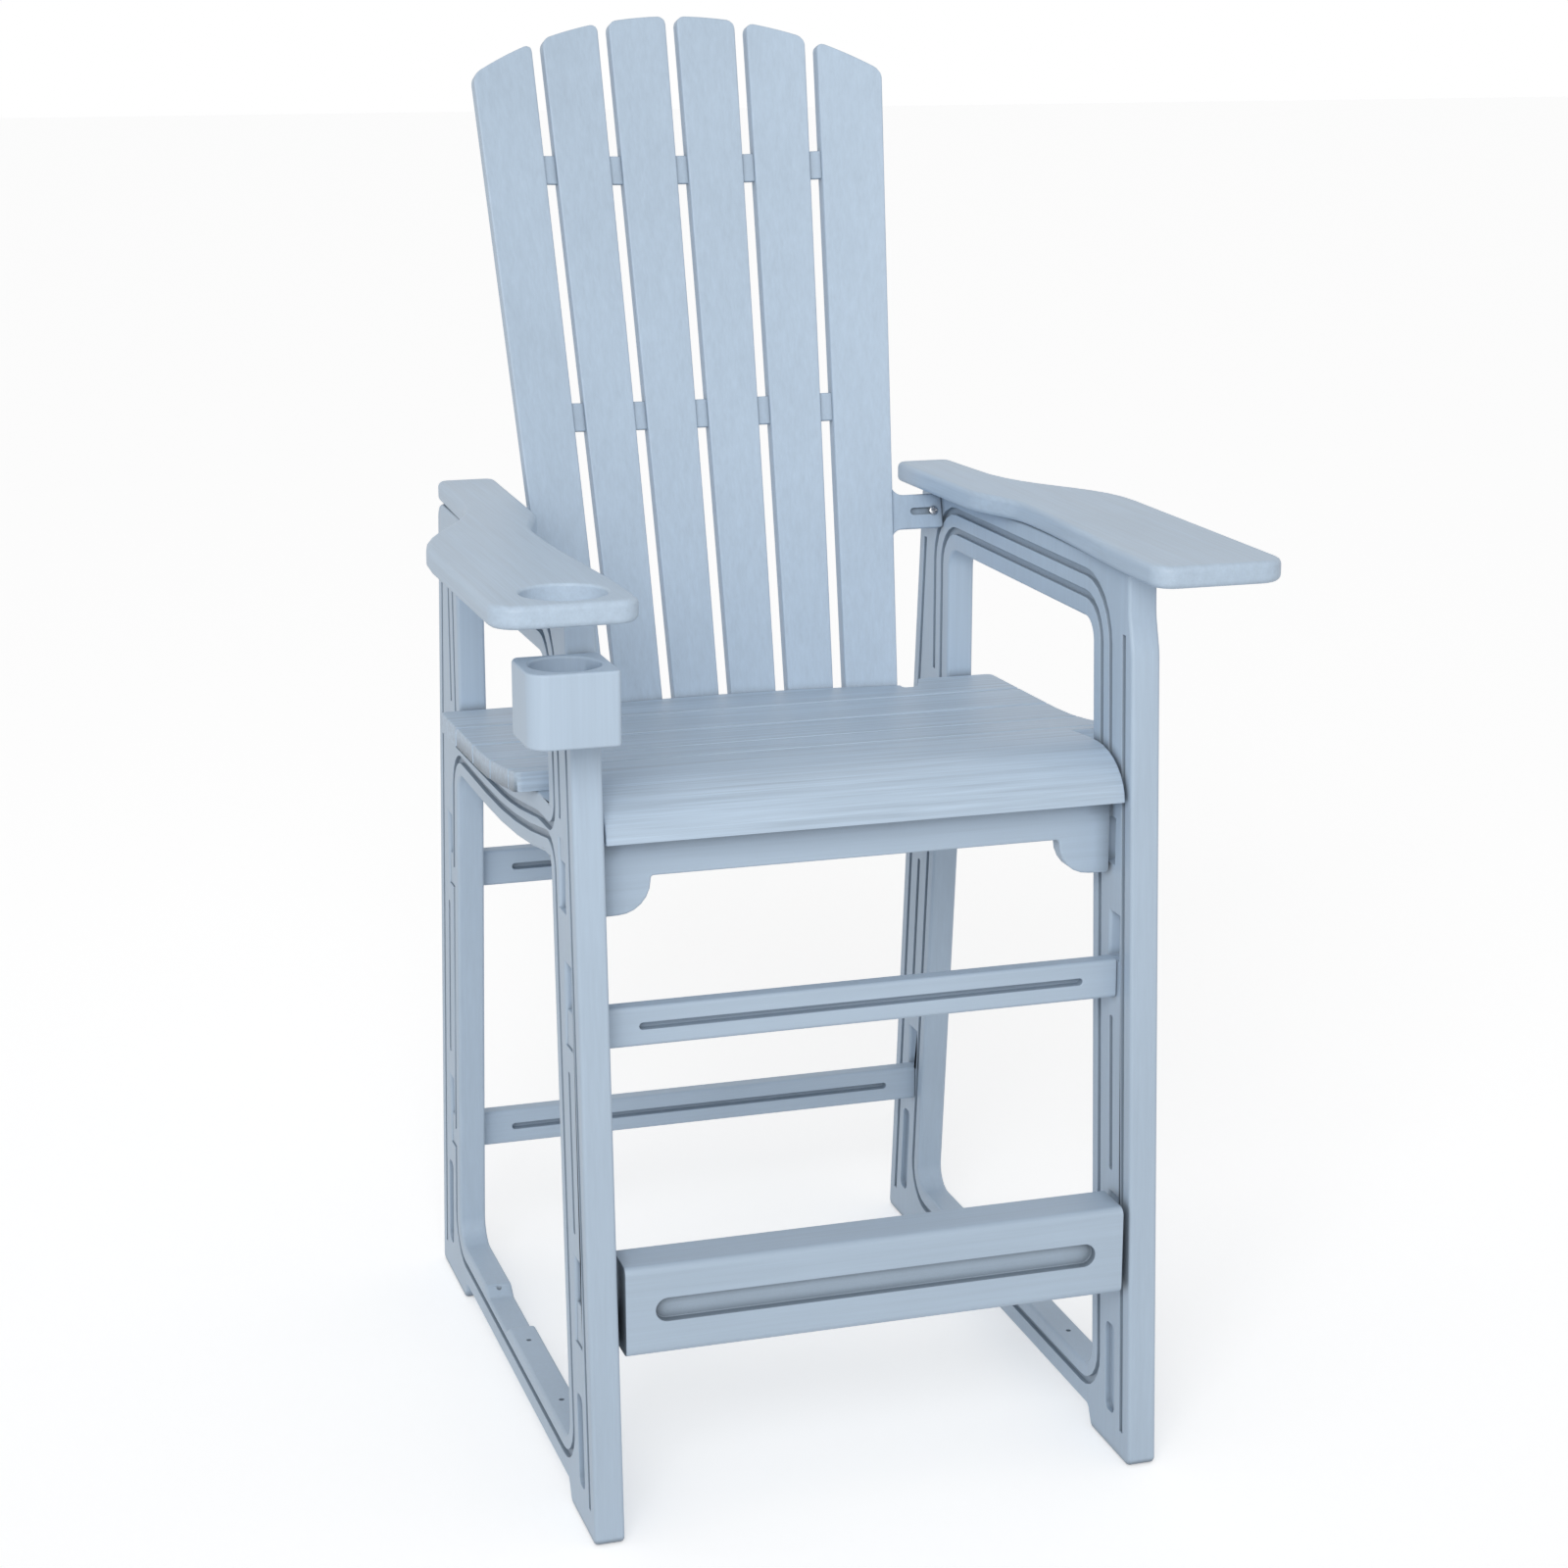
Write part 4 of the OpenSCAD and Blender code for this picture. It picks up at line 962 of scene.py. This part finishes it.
def screw_seats(node, direction):
    """The places of a node's screws, at the underside of their heads, and their length."""
    mesh = bmesh.new()
    mesh.from_mesh(SOLIDS[node].data)
    bmesh.ops.remove_doubles(mesh, verts=mesh.verts, dist=SAME_POINT)
    seen_verts = set()
    places, length = [], 0.0
    for first in mesh.verts:
        if first in seen_verts:
            continue
        seen_verts.add(first)
        island = [first]
        # The list grows while it is gone through, until the whole screw is in it
        for vert in island:
            others = [link.other_vert(vert) for link in vert.link_edges]
            island += [v for v in others if v not in seen_verts]
            seen_verts.update(others)
        along = [v.co.dot(direction) for v in island]
        centre = sum((v.co for v in island), Vector()) / len(island)
        seat = min(along) + HEAD_HEIGHT
        places.append(centre + direction * (seat - centre.dot(direction)))
        length = max(along) - seat
    mesh.free()
    return places, length


UP = Vector((0, 0, 1))
REARWARD = Vector((0, 1, 0))
INTO_BACK = Vector((0, math.cos(BACK_TILT), -math.sin(BACK_TILT)))
screw_rule = screws_on_points()
for node, direction in (("seat_screws", UP), ("arm_screws", UP), ("cup_holder_screws", REARWARD),
                        ("back_foot_screws", INTO_BACK), ("ear_screws", INTO_BACK)):
    places, length = screw_seats(node, direction)
    points = bpy.data.meshes.new(node + "_points")
    points.from_pydata([tuple(p) for p in places], [], [])
    group = grown(node + "_threaded", screw_rule,
                  {"Finish": SCREW_STEEL, "Direction": tuple(direction), "Length": length}, points)
    finished(smoothed(group), SCREW_STEEL, "screw_steel", node)

# ---------------------------------------------------------------- floor and light

FLOOR_SIZE = 60
# The floor's own shade, how much that varies, and the light that only the camera sees on it
FLOOR_SHADE, FLOOR_MOTTLE, FLOOR_GLOW = 0.92, 0.004, 0.385
WORLD_LIGHT = 0.56


def seen(sheet):
    """1 for rays from the camera, and for what metal and glass show of the studio."""
    rays = sheet.add("ShaderNodeLightPath")
    straight_on, mirrored, through = (Field(sheet, rays.outputs[name]) for name in (
        "Is Camera Ray", "Is Glossy Ray", "Is Transmission Ray"))
    return sheet.high(straight_on, sheet.high(mirrored, through))


def white_floor(sheet, place):
    """It takes the stool's shadow, and the camera sees it as white."""
    noise = sheet.add("ShaderNodeTexNoise", {"Vector": place, "Scale": 3.0})
    grey = (Field(sheet, noise.outputs["Fac"]) - 0.5) * FLOOR_MOTTLE + FLOOR_SHADE
    diffuse = sheet.add("ShaderNodeBsdfDiffuse", {"Color": sheet.vector(grey, grey, grey)})
    lift = sheet.add("ShaderNodeEmission", {"Strength": seen(sheet) * FLOOR_GLOW})
    return sheet.add("ShaderNodeAddShader", {0: diffuse.outputs[0], 1: lift.outputs[0]})


grid = bmesh.new()
bmesh.ops.create_grid(grid, x_segments=2, y_segments=2, size=FLOOR_SIZE / 2)
floor_mesh = bpy.data.meshes.new("studio_floor")
grid.to_mesh(floor_mesh)
grid.free()
floor = linked("studio_floor", floor_mesh)
floor.data.materials.append(surfaced("floor_white", white_floor))

world = bpy.data.worlds.new("studio_world")
bpy.context.scene.world = world
sky = blank(world)
background = sky.add("ShaderNodeBackground", {
    "Color": (1, 1, 1, 1), "Strength": WORLD_LIGHT + seen(sky) * (1 - WORLD_LIGHT)})
sky.add("ShaderNodeOutputWorld", {"Surface": background.outputs[0]})


def lamp(name, kind, direction, place=(0, 0, 0), **settings):
    """A lamp that shines in a direction from a place."""
    light = bpy.data.lights.new(name, kind)
    for key, value in settings.items():
        setattr(light, key, value)
    holder = bpy.data.objects.new(name, light)
    holder.location = place
    holder.rotation_euler = direction.to_track_quat("-Z", "Y").to_euler()
    bpy.context.scene.collection.objects.link(holder)


lamp("key_softbox", "SUN", Vector((0.42, 0.88, -0.42)), energy=0.6, angle=math.radians(50))

# A second softbox at the front left, near enough to fade towards the feet
SOFTBOX_PLACE = Vector((-1.0, -2.2, 1.9))
SOFTBOX_AIM = Vector((0, 0, 1.2))
lamp("front_softbox", "AREA", SOFTBOX_AIM - SOFTBOX_PLACE, SOFTBOX_PLACE,
     energy=4.5, size=1.0, spread=math.radians(80))
